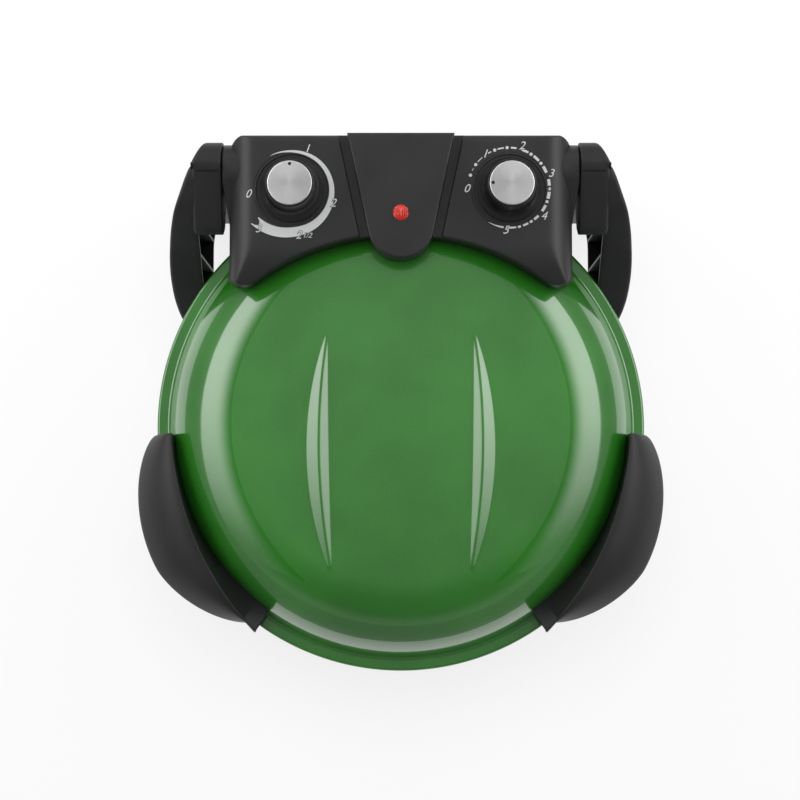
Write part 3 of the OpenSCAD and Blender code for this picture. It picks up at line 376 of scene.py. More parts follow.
def vary_gloss(tree, shader, pattern, low, high):
    """Roughness that follows a pattern, from low to high."""
    gloss = add(tree, "ShaderNodeMapRange", inputs={
        "Value": (pattern, 0), "From Min": 0.3, "From Max": 0.7, "To Min": low, "To Max": high})
    tree.links.new(gloss.outputs[0], shader.inputs["Roughness"])


def relief(tree, shader, pattern, depth, side="Normal"):
    """Grain whose full height measures depth millimetres, on the base or on the coat."""
    grain = add(tree, "ShaderNodeBump", inputs={"Height": (pattern, 0), "Distance": depth * MM, "Strength": 1.0})
    tree.links.new(grain.outputs[0], shader.inputs[side])


def vitreous_enamel():
    """Vitreous enamel fired on pressed steel: deep wet gloss over a strong green, with a faint orange peel."""
    material, tree, shader, coords = new_material("vitreous_enamel_green", {
        "Roughness": 0.3, "Coat Weight": 1.0, "Coat Roughness": 0.03, "Coat IOR": 1.9})
    cloud = noise(tree, coords, 60, 3.0)
    colour = mix_colours(tree, (cloud, 0), "#226a17", "#2b7a1e", 0.35, 0.65)
    fleck = noise(tree, coords, 0.9, 2.0)
    speck = mix_colours(tree, (fleck, 0), "#2f8322", "#1e6013", 0.3, 0.72)
    blend = add(tree, "ShaderNodeMix", {"data_type": "RGBA"}, {
        "Factor": 0.25, "A": (colour, 2), "B": (speck, 2)})
    tree.links.new(blend.outputs[2], shader.inputs["Base Color"])
    peel = noise(tree, coords, 4.5, 1.0)
    relief(tree, shader, peel, 0.02)
    relief(tree, shader, peel, 0.012, "Coat Normal")
    return material


def moulded_plastic(name, dark, light, rough, grain_mm, grain_depth, coat=0.0):
    """Injection-moulded plastic with a fine spark-eroded grain and slight flow clouds."""
    material, tree, shader, coords = new_material(name, {
        "Specular IOR Level": 0.5, "Coat Weight": coat, "Coat Roughness": 0.2})
    cloud = noise(tree, coords, 35, 3.0)
    paint(tree, shader, cloud, dark, light)
    grain = noise(tree, coords, grain_mm, 2.0)
    vary_gloss(tree, shader, grain, rough - 0.04, rough + 0.06)
    relief(tree, shader, grain, grain_depth)
    return material


def plated_metal(name, dark, light, rough, stretch=(1, 1, 1), grain_mm=1.2):
    """Bare or plated metal: full metallic, fine drawn lines and cloudy brightness."""
    material, tree, shader, coords = new_material(name, {"Metallic": 1.0})
    cloud = noise(tree, coords, 18, 3.0)
    paint(tree, shader, cloud, dark, light)
    lines = noise(tree, coords, grain_mm, 3.0, stretch)
    vary_gloss(tree, shader, lines, rough - 0.06, rough + 0.08)
    relief(tree, shader, lines, 0.01)
    return material


def fired_stone():
    """Fine-grained cordierite: sandy buff with dark and light grit and open pores, wholly matt."""
    material, tree, shader, coords = new_material("fired_cordierite", {"Roughness": 0.9})
    cloud = noise(tree, coords, 40, 4.0)
    base = mix_colours(tree, (cloud, 0), "#c3a06e", "#d2b385", 0.3, 0.7)
    grit = noise(tree, coords, 1.4, 3.0)
    fleck = mix_colours(tree, (grit, 0), "#96764a", "#ecd9b4", 0.3, 0.7)
    both = add(tree, "ShaderNodeMix", {"data_type": "RGBA"}, {"Factor": 0.45, "A": (base, 2), "B": (fleck, 2)})
    tree.links.new(both.outputs[2], shader.inputs["Base Color"])
    relief(tree, shader, grit, 0.25)
    return material


def mineral_wool():
    """Loose mineral wool mat: crossing pale fibres, deep soft pile."""
    material, tree, shader, coords = new_material("mineral_wool_mat", {
        "Roughness": 1.0, "Sheen Weight": 0.4, "Sheen Roughness": 0.6})
    fibre_a = noise(tree, coords, 1.5, 3.0, (1, 0.12, 1))
    fibre_b = noise(tree, coords, 1.5, 3.0, (0.12, 1, 1))
    both = add(tree, "ShaderNodeMath", {"operation": "MAXIMUM"}, {0: (fibre_a, 0), 1: (fibre_b, 0)})
    paint(tree, shader, both, "#a8925c", "#e4d8a8", 0.4, 0.75)
    relief(tree, shader, both, 0.8)
    return material


def oxidised_sheath():
    """Steel heater tube, oxidised dark by heat: blotches of brown and blue-black over a dull metal."""
    material, tree, shader, coords = new_material("oxidised_heater_sheath", {"Metallic": 0.6})
    blotch = noise(tree, coords, 9, 4.0)
    paint(tree, shader, blotch, "#2a2523", "#5c4c42", 0.3, 0.72)
    vary_gloss(tree, shader, blotch, 0.38, 0.62)
    scale = noise(tree, coords, 0.8, 2.0)
    relief(tree, shader, scale, 0.04)
    return material


def unglazed_ceramic(name, dark, light, rough):
    """Pressed steatite or natural nylon: off-white, dry, with faint speckle."""
    material, tree, shader, coords = new_material(name, {"Subsurface Weight": 0.08, "Subsurface Scale": 0.001})
    fleck = noise(tree, coords, 1.1, 3.0)
    paint(tree, shader, fleck, dark, light)
    vary_gloss(tree, shader, fleck, rough - 0.05, rough + 0.08)
    relief(tree, shader, fleck, 0.03)
    return material


def moulded_rubber():
    """Matt moulded rubber: near black, dusty in its grain."""
    material, tree, shader, coords = new_material("moulded_black_rubber", {"Specular IOR Level": 0.35})
    dust = noise(tree, coords, 2.2, 4.0)
    paint(tree, shader, dust, "#101010", "#262524", 0.35, 0.75)
    vary_gloss(tree, shader, dust, 0.72, 0.9)
    relief(tree, shader, dust, 0.05)
    return material


def lamp_lens_plastic():
    """Clear red moulded lens: wet gloss, light glowing inside its ribs."""
    material, tree, shader, coords = new_material("clear_red_lens", {
        "Roughness": 0.12, "IOR": 1.49, "Subsurface Weight": 0.15, "Subsurface Scale": 0.003,
        "Subsurface Radius": (1.0, 0.15, 0.08), "Coat Weight": 0.6, "Coat Roughness": 0.04})
    depth = noise(tree, coords, 3, 2.0)
    paint(tree, shader, depth, "#a80f06", "#dd2a14")
    relief(tree, shader, depth, 0.02)
    return material


def brushed_cap():
    """Aluminium, satin-brushed: faint hairlines along Y under a broad bright sheen, clear-lacquered."""
    material, tree, shader, coords = new_material("brushed_aluminium", {
        "Metallic": 1.0, "Anisotropic": 0.3, "Coat Weight": 0.2, "Coat Roughness": 0.25})
    lines = noise(tree, coords, 0.3, 2.0, (1, 0.02, 1))
    paint(tree, shader, lines, "#f0f0f0", "#f8f8f7")
    vary_gloss(tree, shader, lines, 0.48, 0.54)
    relief(tree, shader, lines, 0.03)
    return material


def pad_print():
    """Pad-printed ink: opaque off-white, a touch uneven, dead flat."""
    material, tree, shader, coords = new_material("pad_print_white", {"Roughness": 0.6})
    fleck = noise(tree, coords, 0.8, 2.0)
    paint(tree, shader, fleck, "#b4b6b5", "#c6c8c7")
    return material


FINISHES = {
    "enamel": (vitreous_enamel(), "enamel_green"),
    "panel": (moulded_plastic("satin_charcoal_abs", "#242425", "#29292a", 0.42, 0.5, 0.012), "charcoal_abs"),
    "nylon": (moulded_plastic("spark_textured_nylon", "#1c1c1d", "#222223", 0.5, 0.6, 0.02), "black_nylon"),
    "knob": (moulded_plastic("gloss_black_abs", "#0d0d0e", "#121213", 0.3, 0.6, 0.006, 0.3), "black_abs"),
    "cap": (brushed_cap(), "brushed_aluminium"),
    "lens": (lamp_lens_plastic(), "red_lens"),
    "print": (pad_print(), "charcoal_abs"),
    "rubber": (moulded_rubber(), "black_rubber"),
    "stone": (fired_stone(), "cordierite"),
    "wool": (mineral_wool(), "mineral_wool"),
    "sheath": (oxidised_sheath(), "heater_sheath"),
    "liner": (plated_metal("aluminised_sheet", "#a5a5a2", "#c9c9c6", 0.36, (1, 0.1, 1), 2.5), "aluminised_steel"),
    "zinc": (plated_metal("zinc_plated_steel", "#a9abb0", "#cfcfc8", 0.3), "zinc_steel"),
    "steel": (plated_metal("ground_bright_steel", "#bdbdbd", "#d8d8d8", 0.22, (0.1, 1, 1)), "bright_steel"),
    "brass": (plated_metal("turned_brass", "#b98f3f", "#d9b468", 0.28), "bush_brass"),
    "ceramic": (unglazed_ceramic("pressed_steatite", "#dcd6c6", "#efeadd", 0.7), "white_ceramic"),
    "white_nylon": (unglazed_ceramic("natural_nylon", "#dedbd0", "#f2efe6", 0.45), "white_nylon"),
}
# Where finishes share a slot, the solids take the first of them
NODE_FINISH = {slot: material for material, slot in reversed(list(FINISHES.values()))}

# ---- Dishes ----


def crown_height(r):
    """Height of the crown's shallow arc over the parting plane."""
    return DISH_H - CROWN_RAD + np.sqrt(CROWN_RAD ** 2 - r ** 2)


def skin_height(r):
    """Height of the dish over the parting plane: crown arc, then shoulder arc."""
    across = np.clip(SHOULDER_RAD ** 2 - (r - SHOULDER_C[0]) ** 2, 1, None)
    return np.where(r < CROWN_EDGE, crown_height(np.minimum(r, CROWN_RAD)), SHOULDER_C[1] + np.sqrt(across))


def skin_radius(z):
    """Radius of the dish at height z over the parting plane, on shoulder or flank."""
    z = np.asarray(z, float)
    shoulder = SHOULDER_C[0] + np.sqrt(np.clip(SHOULDER_RAD ** 2 - (z - SHOULDER_C[1]) ** 2, 0, None))
    flank = FLANK_TOP[0] + (FLANK_TOP[1] - z) / math.tan(math.radians(FLANK_TILT))
    return np.where(z > FLANK_TOP[1], shoulder, flank)


def clear_of_dish(x, y, lowest):
    """The lowest height above the lid at (x, y): a seating gap over the dish, or the flange beyond its flank."""
    r = np.hypot(x, y)
    flank = FLANK_TOP[1] - (r - FLANK_TOP[0]) * math.tan(math.radians(FLANK_TILT))
    over = np.where(r < FLANK_TOP[0], skin_height(r), flank)
    return np.maximum(PARTING + over + SEAT_GAP, lowest)


def ridge_height(x, y):
    """Height of the crescent ridges: the lower of two wide cones' sides, eased at the crest."""
    lean = RIDGE_W / RIDGE_H
    fall = RIDGE_HALF ** 2 / (2 * CROWN_RAD)
    base = float(crown_height(math.hypot(RIDGE_X, RIDGE_FRONT)))
    x = np.abs(x)
    sides = []
    for sign in (1, -1):
        sag = RIDGE_W + lean * fall + sign * RIDGE_SWEEP
        radius = (RIDGE_HALF ** 2 + sag ** 2) / (2 * sag)
        centre_x = RIDGE_X + sign * (RIDGE_W - radius)
        away = np.hypot(x - centre_x, y + RIDGE_FRONT)
        sides.append(base + (radius - away) / lean)
    crest_ease = 0.42
    return -np.logaddexp(-sides[0] / crest_ease, -sides[1] / crest_ease) * crest_ease


def lid_height(x, y):
    """Crown with its ridges: the higher of the two, eased where they meet."""
    foot_ease = 0.16
    crown = crown_height(np.hypot(x, y))
    return np.logaddexp(crown / foot_ease, ridge_height(x, y) / foot_ease) * foot_ease


def rim_profile(inset):
    """Shoulder, flank and rim fillet of the dish, moved inward by inset."""
    shoulder = arc(SHOULDER_C, SHOULDER_RAD - inset, 90 - CROWN_TILT, 90 - FLANK_TILT, 26)
    fillet = arc(FILLET_C, RIM_FILLET + inset, 270 - FLANK_TILT, 270, 6)
    return np.concatenate([shoulder, fillet])


def bead_profile():
    """The rolled bead, from the flange over the outside and back to the underside of the flange."""
    centre = (RIM_R - BEAD, FLANGE_Z - BEAD)
    roll = arc(centre, BEAD, 90, -180, 16)
    return np.concatenate([roll, [[RIM_R - 2 * BEAD, FLANGE_Z - SHEET]]])


def inner_profile():
    """Inside of the sheet, from the flange up to the pole."""
    crown_r = np.linspace(CROWN_EDGE * 0.98, 0, 8)
    crown = np.stack([crown_r, crown_height(crown_r) - SHEET], 1)
    return np.concatenate([rim_profile(SHEET)[::-1], crown])


def spaced(spans):
    """Numbers from spans of (start, end, step), joined without repeats."""
    parts = [np.linspace(a, b, int(round((b - a) / step)) + 1)[:-1] for a, b, step in spans]
    return np.append(np.concatenate(parts), spans[-1][1])


def square_disc(u, v):
    """The unit disc mapped from a square: x = u root(1 - v v / 2), y = v root(1 - u u / 2). Lines of one u bow
    outward as the ridges do."""
    u, v = np.meshgrid(u, v, indexing="ij")
    return u * np.sqrt(1 - v ** 2 / 2), v * np.sqrt(1 - u ** 2 / 2)


def lid_patches():
    """Crown on the squared disc, then rings from its edge over shoulder, bead and inside."""
    fine = 0.0045
    coarse = 0.02
    right = [(0.0, 0.4, coarse), (0.4, 0.66, fine), (0.66, 1.0, coarse)]
    u = spaced(right)
    u = np.concatenate([-u[:0:-1], u])
    v = spaced([(-1.0, 1.0, 0.0125)])
    x, y = square_disc(u, v)
    x = x * CROWN_EDGE
    y = y * CROWN_EDGE
    crown = np.stack([x, y, PARTING + lid_height(x, y)], -1)
    edge = np.concatenate([crown[:, 0], crown[-1, 1:], crown[-2::-1, -1], crown[0, -2:0:-1]])
    turn = np.arctan2(edge[:, 1], edge[:, 0])
    profile = np.concatenate([rim_profile(0)[1:], bead_profile(), inner_profile()])
    ring_x = profile[:, :1] * np.cos(turn)
    ring_y = profile[:, :1] * np.sin(turn)
    ring_z = np.broadcast_to(PARTING + profile[:, 1:], ring_x.shape)
    rings = np.concatenate([edge[None], np.stack([ring_x, ring_y, ring_z], -1)])
    return [(crown, False, False), (rings, False, True)]


def base_patches():
    """The same dish upside down, without ridges, turned as one lathe profile."""
    crown_r = np.linspace(0, CROWN_EDGE, 12)
    crown = np.stack([crown_r, crown_height(crown_r)], 1)
    profile = np.concatenate([crown[:-1], rim_profile(0), bead_profile(), inner_profile()])
    profile[:, 1] = PARTING - profile[:, 1]
    return [lathe(profile, steps=288)]


build("lid_dish", lid_patches(), "enamel", "lid", ["lid_shell"], sharp=50)
build("base_dish", base_patches(), "enamel", "base", ["base_shell"], sharp=50)

# ---- Control panel ----

GROOVE_TURN = math.atan2(PANEL_REAR - NOSE_Y, CONSOLE_REAR_W) - math.acos(
    NOSE_R / math.hypot(CONSOLE_REAR_W, PANEL_REAR - NOSE_Y))


def groove_x(y, extra):
    """Half width of the console at y, grown by extra: its round nose, then the side that touches the nose."""
    radius = NOSE_R + extra
    touch_x = radius * math.cos(GROOVE_TURN)
    touch_y = NOSE_Y + radius * math.sin(GROOVE_TURN)
    nose = np.sqrt(np.clip(radius ** 2 - (y - NOSE_Y) ** 2, 0, None))
    side = touch_x - (y - touch_y) * math.tan(GROOVE_TURN)
    return np.where(y < touch_y, nose, side)


def groove_front(extra):
    """Where the edge of the console, grown by extra, meets the panel's front arc."""
    radius = NOSE_R + extra
    apart = NOSE_Y - PANEL_FRONT_C
    return PANEL_FRONT_C + (PANEL_FRONT_R ** 2 + apart ** 2 - radius ** 2) / (2 * apart)


def roll(over, radius):
    """Drop of a quarter round at a distance over past where it starts."""
    over = np.clip(over, 0, radius)
    return radius - np.sqrt(radius ** 2 - over ** 2)


def panel_height(x, y):
    """Flat top that rolls down at both ends and at the rear and falls in front: the deepest of these, eased."""
    ease = 0.6
    end = roll(np.abs(x) - (HALF_W - END_ROLL), END_ROLL)
    rear = roll(y - (PANEL_REAR - REAR_ROLL), REAR_ROLL)
    front = roll(FALL_Y - y, FALL_ROLL)
    deepest = np.logaddexp(np.logaddexp(end / ease, rear / ease), front / ease) * ease
    return PANEL_TOP - deepest + ease * math.log(3)


def panel_front(x):
    """Front edge: the arc in front of the dish's middle, then the round of the corner that touches it."""
    curve = PANEL_FRONT_C + np.sqrt(PANEL_FRONT_R ** 2 - np.minimum(x, CORNER_TOUCH) ** 2)
    over = np.clip(x - (HALF_W - PANEL_CORNER), CORNER_TOUCH - HALF_W + PANEL_CORNER, PANEL_CORNER)
    return np.where(x < CORNER_TOUCH, curve, PANEL_CORNER_Y - np.sqrt(PANEL_CORNER ** 2 - over ** 2))


def panel_back(x):
    """Rear edge with its round corner."""
    over = np.clip(x - (HALF_W - PANEL_CORNER), 0, PANEL_CORNER)
    return PANEL_REAR - PANEL_CORNER + np.sqrt(PANEL_CORNER ** 2 - over ** 2)


def panel_side():
    """Right half of the panel's top as a ruled grid between the groove and the end, front edge to rear edge."""
    start = (HALF_W - END_ROLL - groove_x(PANEL_REAR, 0)) / (HALF_W - groove_x(PANEL_REAR, 0))
    ends = start + (1 - start) * np.sin(np.linspace(0, np.pi / 2, 34))
    across = np.concatenate([np.linspace(0, start, 62)[:-1], ends])
    tip = groove_front(GROOVE_W + LIP)
    tip_x = groove_x(np.array(tip), GROOVE_W + LIP)
    front = panel_front(tip_x + (HALF_W - tip_x) * across)
    rear = np.full_like(across, PANEL_REAR)
    # Each pass brings the ruled lines closer to where they meet the round rear corner
    for _ in range(24):
        inner = groove_x(rear, GROOVE_W + LIP)
        rear = panel_back(inner + (HALF_W - inner) * across)
    front[0] = tip
    near = EDGE * (1 - np.cos(np.linspace(0, np.pi / 2, 6)))
    far = REAR_ROLL * np.sin(np.linspace(0, np.pi / 2, 12))
    middle = np.linspace(0, 1, 72)[1:-1]
    depth = (rear - front)[:, None]
    along = np.concatenate([
        np.broadcast_to(near, (len(across), len(near))),
        EDGE + (depth - EDGE - REAR_ROLL) * middle,
        depth - REAR_ROLL + far], 1)
    y = front[:, None] + along
    inner = groove_x(np.maximum(y, tip), GROOVE_W + LIP)
    x = inner + (HALF_W - inner) * across[:, None]
    z = panel_height(x, y) - (EDGE - np.sqrt(np.clip(EDGE ** 2 - (EDGE - np.minimum(along, EDGE)) ** 2, 0, None)))
    off_seat = np.clip((np.hypot(x - KNOB_X, y - KNOB_Y) - SEAT_R - 0.1) / SEAT_EASE, 0, 1)
    z = z - SEAT_DROP * (1 - off_seat)
    return np.stack([x, y, z], -1)


def groove_section():
    """Section of the groove, as distance from the console and height: panel lip, wall, floor, console's foot."""
    lip = arc((GROOVE_W + LIP, PANEL_TOP - LIP), LIP, 90, 180, 4)
    foot = arc((GROOVE_W - LIP, GROOVE_Z + LIP), LIP, 0, -90, 4)
    return np.concatenate([lip, foot, arc((LIP, GROOVE_Z + LIP), LIP, -90, -180, 4)])


def groove_strip():
    """The groove carried from the panel's front arc to its rear edge, with closer rows at the rear roll."""
    roll_share = 0.14
    far = 1 - (1 - np.sin(np.linspace(0, np.pi / 2, 10))) * roll_share
    along = np.concatenate([np.linspace(0, 1 - roll_share, 44)[:-1], far])
    rows = []
    for extra, height in groove_section():
        y = groove_front(extra) + (PANEL_REAR - groove_front(extra)) * along
        x = groove_x(y, extra)
        on_lip = height > PANEL_TOP - 1
        front_drop = roll(EDGE - (y - y[0]), EDGE) * on_lip
        fall = roll(FALL_Y - y, FALL_ROLL) * on_lip
        z = np.minimum(height - front_drop - fall, panel_height(0 * y, y))
        rows.append(np.stack([x, y, z], -1))
    return np.array(rows)


def wall_below(chain, lowest):
    """The wall under an open edge: straight down to the dish or to lowest, then a lip turned in and up. In front of
    FLARE_Y the end walls spread toward the bottom."""
    lip_up = 6
    low = clear_of_dish(chain[:, 0], chain[:, 1], lowest)
    tangent = np.gradient(chain[:, :2], axis=0)
    inward = np.stack([-tangent[:, 1], tangent[:, 0]], 1) / np.linalg.norm(tangent, axis=1)[:, None]
    flare = END_FLARE * np.clip((chain[:, 0] - HALF_W) / PANEL_CORNER + 1, 0, 1) ** 2
    flare = flare * np.clip((FLARE_Y - chain[:, 1]) / FLARE_EASE, 0, 1)
    rows = [np.column_stack([chain[:, 0] + flare * s, chain[:, 1], chain[:, 2] + (low - chain[:, 2]) * s])
            for s in np.linspace(0, 1, 10)]
    inner = chain[:, :2] + inward * PANEL_WALL
    inner_low = clear_of_dish(inner[:, 0], inner[:, 1], lowest)
    rows.append(np.column_stack([inner, inner_low]))
    rows.append(np.column_stack([inner, inner_low + lip_up]))
    return np.array(rows)


def knob_seat(x):
    """The round recess under a knob: a fine lip, a wall and a flat floor down to the control's bush."""
    z = PANEL_TOP
    return lathe([(SEAT_R + 1.5, z - 0.4), (SEAT_R + 1.3, z + 0.02), (SEAT_R + 1.0, z + 0.1), (SEAT_R + 0.2, z + 0.1),
                  (SEAT_R, z - 0.1), (SEAT_R - 0.1, z - 1), (6, z - 1), (6, z - 2), (SEAT_R, z - 2),
                  (SEAT_R + 1.5, z - 0.4)], (x, KNOB_Y), 128)


def barrel():
    """The hinge barrel on the panel's end: a teardrop that narrows and leans in forward, its edge rounded. Its
    outline is a circle about the hinge and a quarter-size circle in front, joined by their tangents."""
    nose = BARREL_R / 4
    lean = math.degrees(math.asin((BARREL_R - nose) / BARREL_FORE))
    back = arc((HINGE_Y, HINGE_Z), BARREL_R, 90 + lean, -90 - lean, 90)
    fore = arc((HINGE_Y - BARREL_FORE, HINGE_Z), nose, -90 - lean, -270 + lean, 40)
    outline = resample(np.concatenate([back, fore]), 0.9)
    along = np.clip((HINGE_Y - BARREL_R / 2 - outline[:, 0]) / (BARREL_FORE + nose - BARREL_R / 2), 0, 1)
    outer = BARREL_END - (BARREL_END - HALF_W) * along
    edge = np.minimum(1.2, (outer - HALF_W) * 0.8 + 0.1)
    root = HALF_W - 12
    rows = [on_plane_x(root, outline)]
    for s in np.linspace(0, 1, 6):
        rows.append(on_plane_x(root + (outer - edge - root) * s, outline))
    for a in np.radians(np.linspace(0, 90, 6))[1:]:
        rows.append(on_plane_x(outer - edge * (1 - math.sin(a)), shrunk(outline, edge[:, None] * (1 - math.cos(a)))))
    rings = drawn_in(shrunk(outline, edge[:, None]), np.array([HINGE_Y, HINGE_Z]), 8)
    faces = drawn_in(outer, BARREL_END, 8)
    rows += [on_plane_x(face, ring) for face, ring in zip(faces, rings)]
    return capped(np.array(rows))


def panel_patches():
    """Top, groove, walls and rear cover of one half, mirrored, with the knob seats and the hinge barrels."""
    top = panel_side()
    strip = groove_strip()
    front_edge = np.concatenate([strip[::-1, 0], top[1:, 0]])
    end_edge = top[-1, 1:]
    rear_edge = np.concatenate([top[-2:0:-1, -1], strip[:, -1]])
    cover = np.linspace(1, 0, 12)[1:, None] * strip[-1, -1]
    cover[:, 1:] = strip[-1, -1, 1:]
    chain = np.concatenate([front_edge, end_edge, rear_edge, cover])
    half = [(top, False, False), (strip, False, False), (wall_below(chain, PANEL_LOW), False, False)]
    return half + mirrored(half) + [knob_seat(KNOB_X), knob_seat(-KNOB_X), barrel()] + mirrored([barrel()])


build("panel_moulding", panel_patches(), "panel", "lid", ["control_panel"], sharp=48, weld=0.02)

# ---- Centre console ----


def console_outline(extra):
    """The console's plan as a closed outline, grown by extra: right side, nose, left side and rear edge."""
    rear = PANEL_REAR + min(extra, 0)
    y_side = np.linspace(rear, NOSE_Y + (NOSE_R + extra) * math.sin(GROOVE_TURN), 44)
    side = np.stack([groove_x(y_side, extra), y_side], 1)
    turn = math.degrees(GROOVE_TURN)
    nose = arc((0, NOSE_Y), NOSE_R + extra, turn, -180 - turn, 56)[1:-1]
    back = np.linspace(-1, 1, 24)[1:-1, None] * np.array([[side[0, 0], 0]]) + np.array([[0, rear]])
    return np.concatenate([side, nose, side[::-1] * np.array([-1, 1]), back])


def console_patches():
    """Wall down to the lid or the groove, a rounded top edge and a top filled toward its middle."""
    edge = 1.5
    foot_edge = 0.4
    outline = console_outline(0)
    outside = np.hypot(outline[:, 0], outline[:, 1] - PANEL_FRONT_C) < PANEL_FRONT_R + 0.2
    foot = np.where(outside, clear_of_dish(outline[:, 0], outline[:, 1], 0), GROOVE_Z - 0.5)
    foot = np.where(outline[:, 1] > PANEL_REAR - 0.01, PANEL_TOP - REAR_ROLL - 1, foot)
    inner = console_outline(-PANEL_WALL)
    rows = [np.column_stack([inner, foot + 2]), np.column_stack([console_outline(-foot_edge), foot])]
    for s in np.linspace(0, 1, 10):
        rows.append(np.column_stack([outline, foot + foot_edge + (CONSOLE_TOP - edge - foot - foot_edge) * s]))
    for a in np.radians(np.linspace(0, 90, 7))[1:]:
        ring = console_outline(-edge * (1 - math.cos(a)))
        rows.append(np.column_stack([ring, np.full(len(ring), CONSOLE_TOP - edge * (1 - math.sin(a)))]))
    for flat in drawn_in(console_outline(-edge), np.array([0, 166.0]), 16):
        rows.append(np.column_stack([flat, np.full(len(flat), CONSOLE_TOP)]))
    return [(np.array(rows), False, True)]


build("console_cover", console_patches(), "panel", "lid", ["centre_console"], sharp=48)

# ---- Lamp ----


def lens_patch():
    """A domed lens with straight prism ribs: a shallow cap plus a cosine across X."""
    rib = 1.5
    rib_depth = 0.16
    rise = 2.6
    edge = 0.6
    rounding = LAMP_R - edge * (1 - np.sin(np.linspace(0, np.pi / 2, 6)[1:]))
    r = np.concatenate([np.linspace(0, LAMP_R - edge, 22), rounding])
    a = np.linspace(0, 2 * np.pi, 120, endpoint=False)
    x = r[:, None] * np.cos(a)
    y = r[:, None] * np.sin(a)
    dome = rise * (1 - (r / LAMP_R) ** 2)[:, None]
    fade = np.clip((LAMP_R - edge - r) / 0.8, 0, 1)[:, None]
    z = CONSOLE_TOP + 0.15 + dome + fade * rib_depth * (np.cos(2 * np.pi * x / rib) - 1)
    side = np.stack([x[-1], y[-1], np.full_like(x[-1], CONSOLE_TOP - 2.5)], -1)
    top = np.stack([x, y, z], -1)
    points = np.concatenate([top, side[None], side.mean(0) * np.ones_like(side)[None]])
    return points + np.array([0, LAMP_Y, 0]), False, True


build("lamp_dome", [lens_patch()], "lens", "lid", ["lamp_lens"], sharp=60)

# ---- Knobs ----


def knob_patch(x):
    """Skirt, flare, waisted grip and the seat for the cap, closed below."""
    low = PANEL_TOP - 0.5
    top = KNOB_TOP - CAP_T
    s = np.linspace(0, 1, 14)[1:]
    flare_r = GRIP_R + 0.7 + (SKIRT_R - GRIP_R - 0.7) * (1 - s) ** 1.8
    flare = np.stack([flare_r, low + 1.6 + 9 * s], 1)
    edge = 0.5
    foot = arc((SKIRT_R - edge, low + edge), edge, -90, 0, 3)
    shoulder = arc((SKIRT_R - edge, low + 1.15), edge, 0, 60, 3)
    rim = arc((GRIP_R - 0.8, top - 0.8), 0.8, 0, 90, 5)
    seat = [[CAP_R + 0.1, top], [CAP_R + 0.1, top - 0.7], [0, top - 0.7]]
    profile = np.concatenate([[[0, low]], foot, shoulder, flare, rim, seat])
    return lathe(profile, (x, KNOB_Y), 144)


def cap_patch(x):
    """Pressed disc: a bevelled edge with eased corners and a shallow dome."""
    top = KNOB_TOP - CAP_DOME - 0.05
    bevel = [(CAP_R, KNOB_TOP - CAP_T - 0.5), (CAP_R, top - 0.5), (CAP_R - 0.1, top - 0.3),
             (CAP_R - 0.5, top - 0.04), (CAP_R - 0.7, top)]
    r = np.linspace(CAP_R - 0.9, 0, 18)
    dome = np.stack([r, top + CAP_DOME * (1 - (r / (CAP_R - 0.8)) ** 2)], 1)
    return lathe(np.concatenate([[[0, KNOB_TOP - CAP_T - 0.5]], bevel, dome]), (x, KNOB_Y), 144)


def pointer_patch(x, turn):
    """The black dimple that marks the cap: a small shallow button near its rim."""
    at = CAP_R - 2.3
    centre = (x + at * cosd(turn), KNOB_Y + at * sind(turn))
    z = KNOB_TOP - CAP_DOME - 0.05 + CAP_DOME * (1 - ((at - 1.1) / (CAP_R - 0.8)) ** 2) + 0.04
    return lathe([(0, z - 0.5), (1.15, z - 0.5), (1.15, z - 0.05), (1.05, z + 0.02), (0.6, z - 0.01), (0, z - 0.02)],
                 centre, 32)


for dial, x, turn in (("temperature", -KNOB_X, 90), ("timer", KNOB_X, 180)):
    body = dial + "_dial"
    build(dial + "_knob_moulding", [knob_patch(x)], "knob", body, [dial + "_knob"], sharp=50)
    build(dial + "_cap_disc", [cap_patch(x)], "cap", body, [dial + "_cap"], sharp=30)
    build(dial + "_pointer", [pointer_patch(x, turn)], "rubber", body, sharp=50)

# ---- Marks printed round the dials ----

INK = 0.05


def band(centre, turn, inner, outer):
    """A printed band between two radii at each turn, laid on the panel with the thickness of the ink."""
    a = np.radians(turn)
    grid = []
    for r, lift in ((inner, -0.3), (inner, INK), (outer, INK), (outer, -0.3)):
        x = centre[0] + r * np.cos(a)
        y = centre[1] + r * np.sin(a)
        grid.append(np.stack([x, y, panel_height(x, y) + lift], -1))
    return capped(np.array(grid).transpose(1, 0, 2))


def dot(centre, turn, reach, radius):
    """A printed dot at a turn and a reach from the dial's middle."""
    at = (centre[0] + reach * cosd(turn), centre[1] + reach * sind(turn))
    z = float(panel_height(*np.array(at)))
    return lathe([(0, z - 0.3), (radius, z - 0.3), (radius, z + INK), (0, z + INK)], at, 20)


def temperature_marks():
    """One band that swells clockwise, from a hairline at the upper left to its blunt end at the lower left."""
    turn = np.linspace(122, -140, 160)
    inner = np.interp(turn, [-140, -90, 60, 90, 122], [30.4, 26.6, 26.4, 26.6, 28.7])
    outer = np.interp(turn, [-140, -90, -10, 90, 122], [37.6, 33.6, 30.2, 28.2, 28.9])
    ease = np.ones(15) / 15
    inner[7:-7] = np.convolve(inner, ease, "valid")
    outer[7:-7] = np.convolve(outer, ease, "valid")
    return [band((-KNOB_X, KNOB_Y), turn, inner, np.maximum(outer, inner + 0.15))]


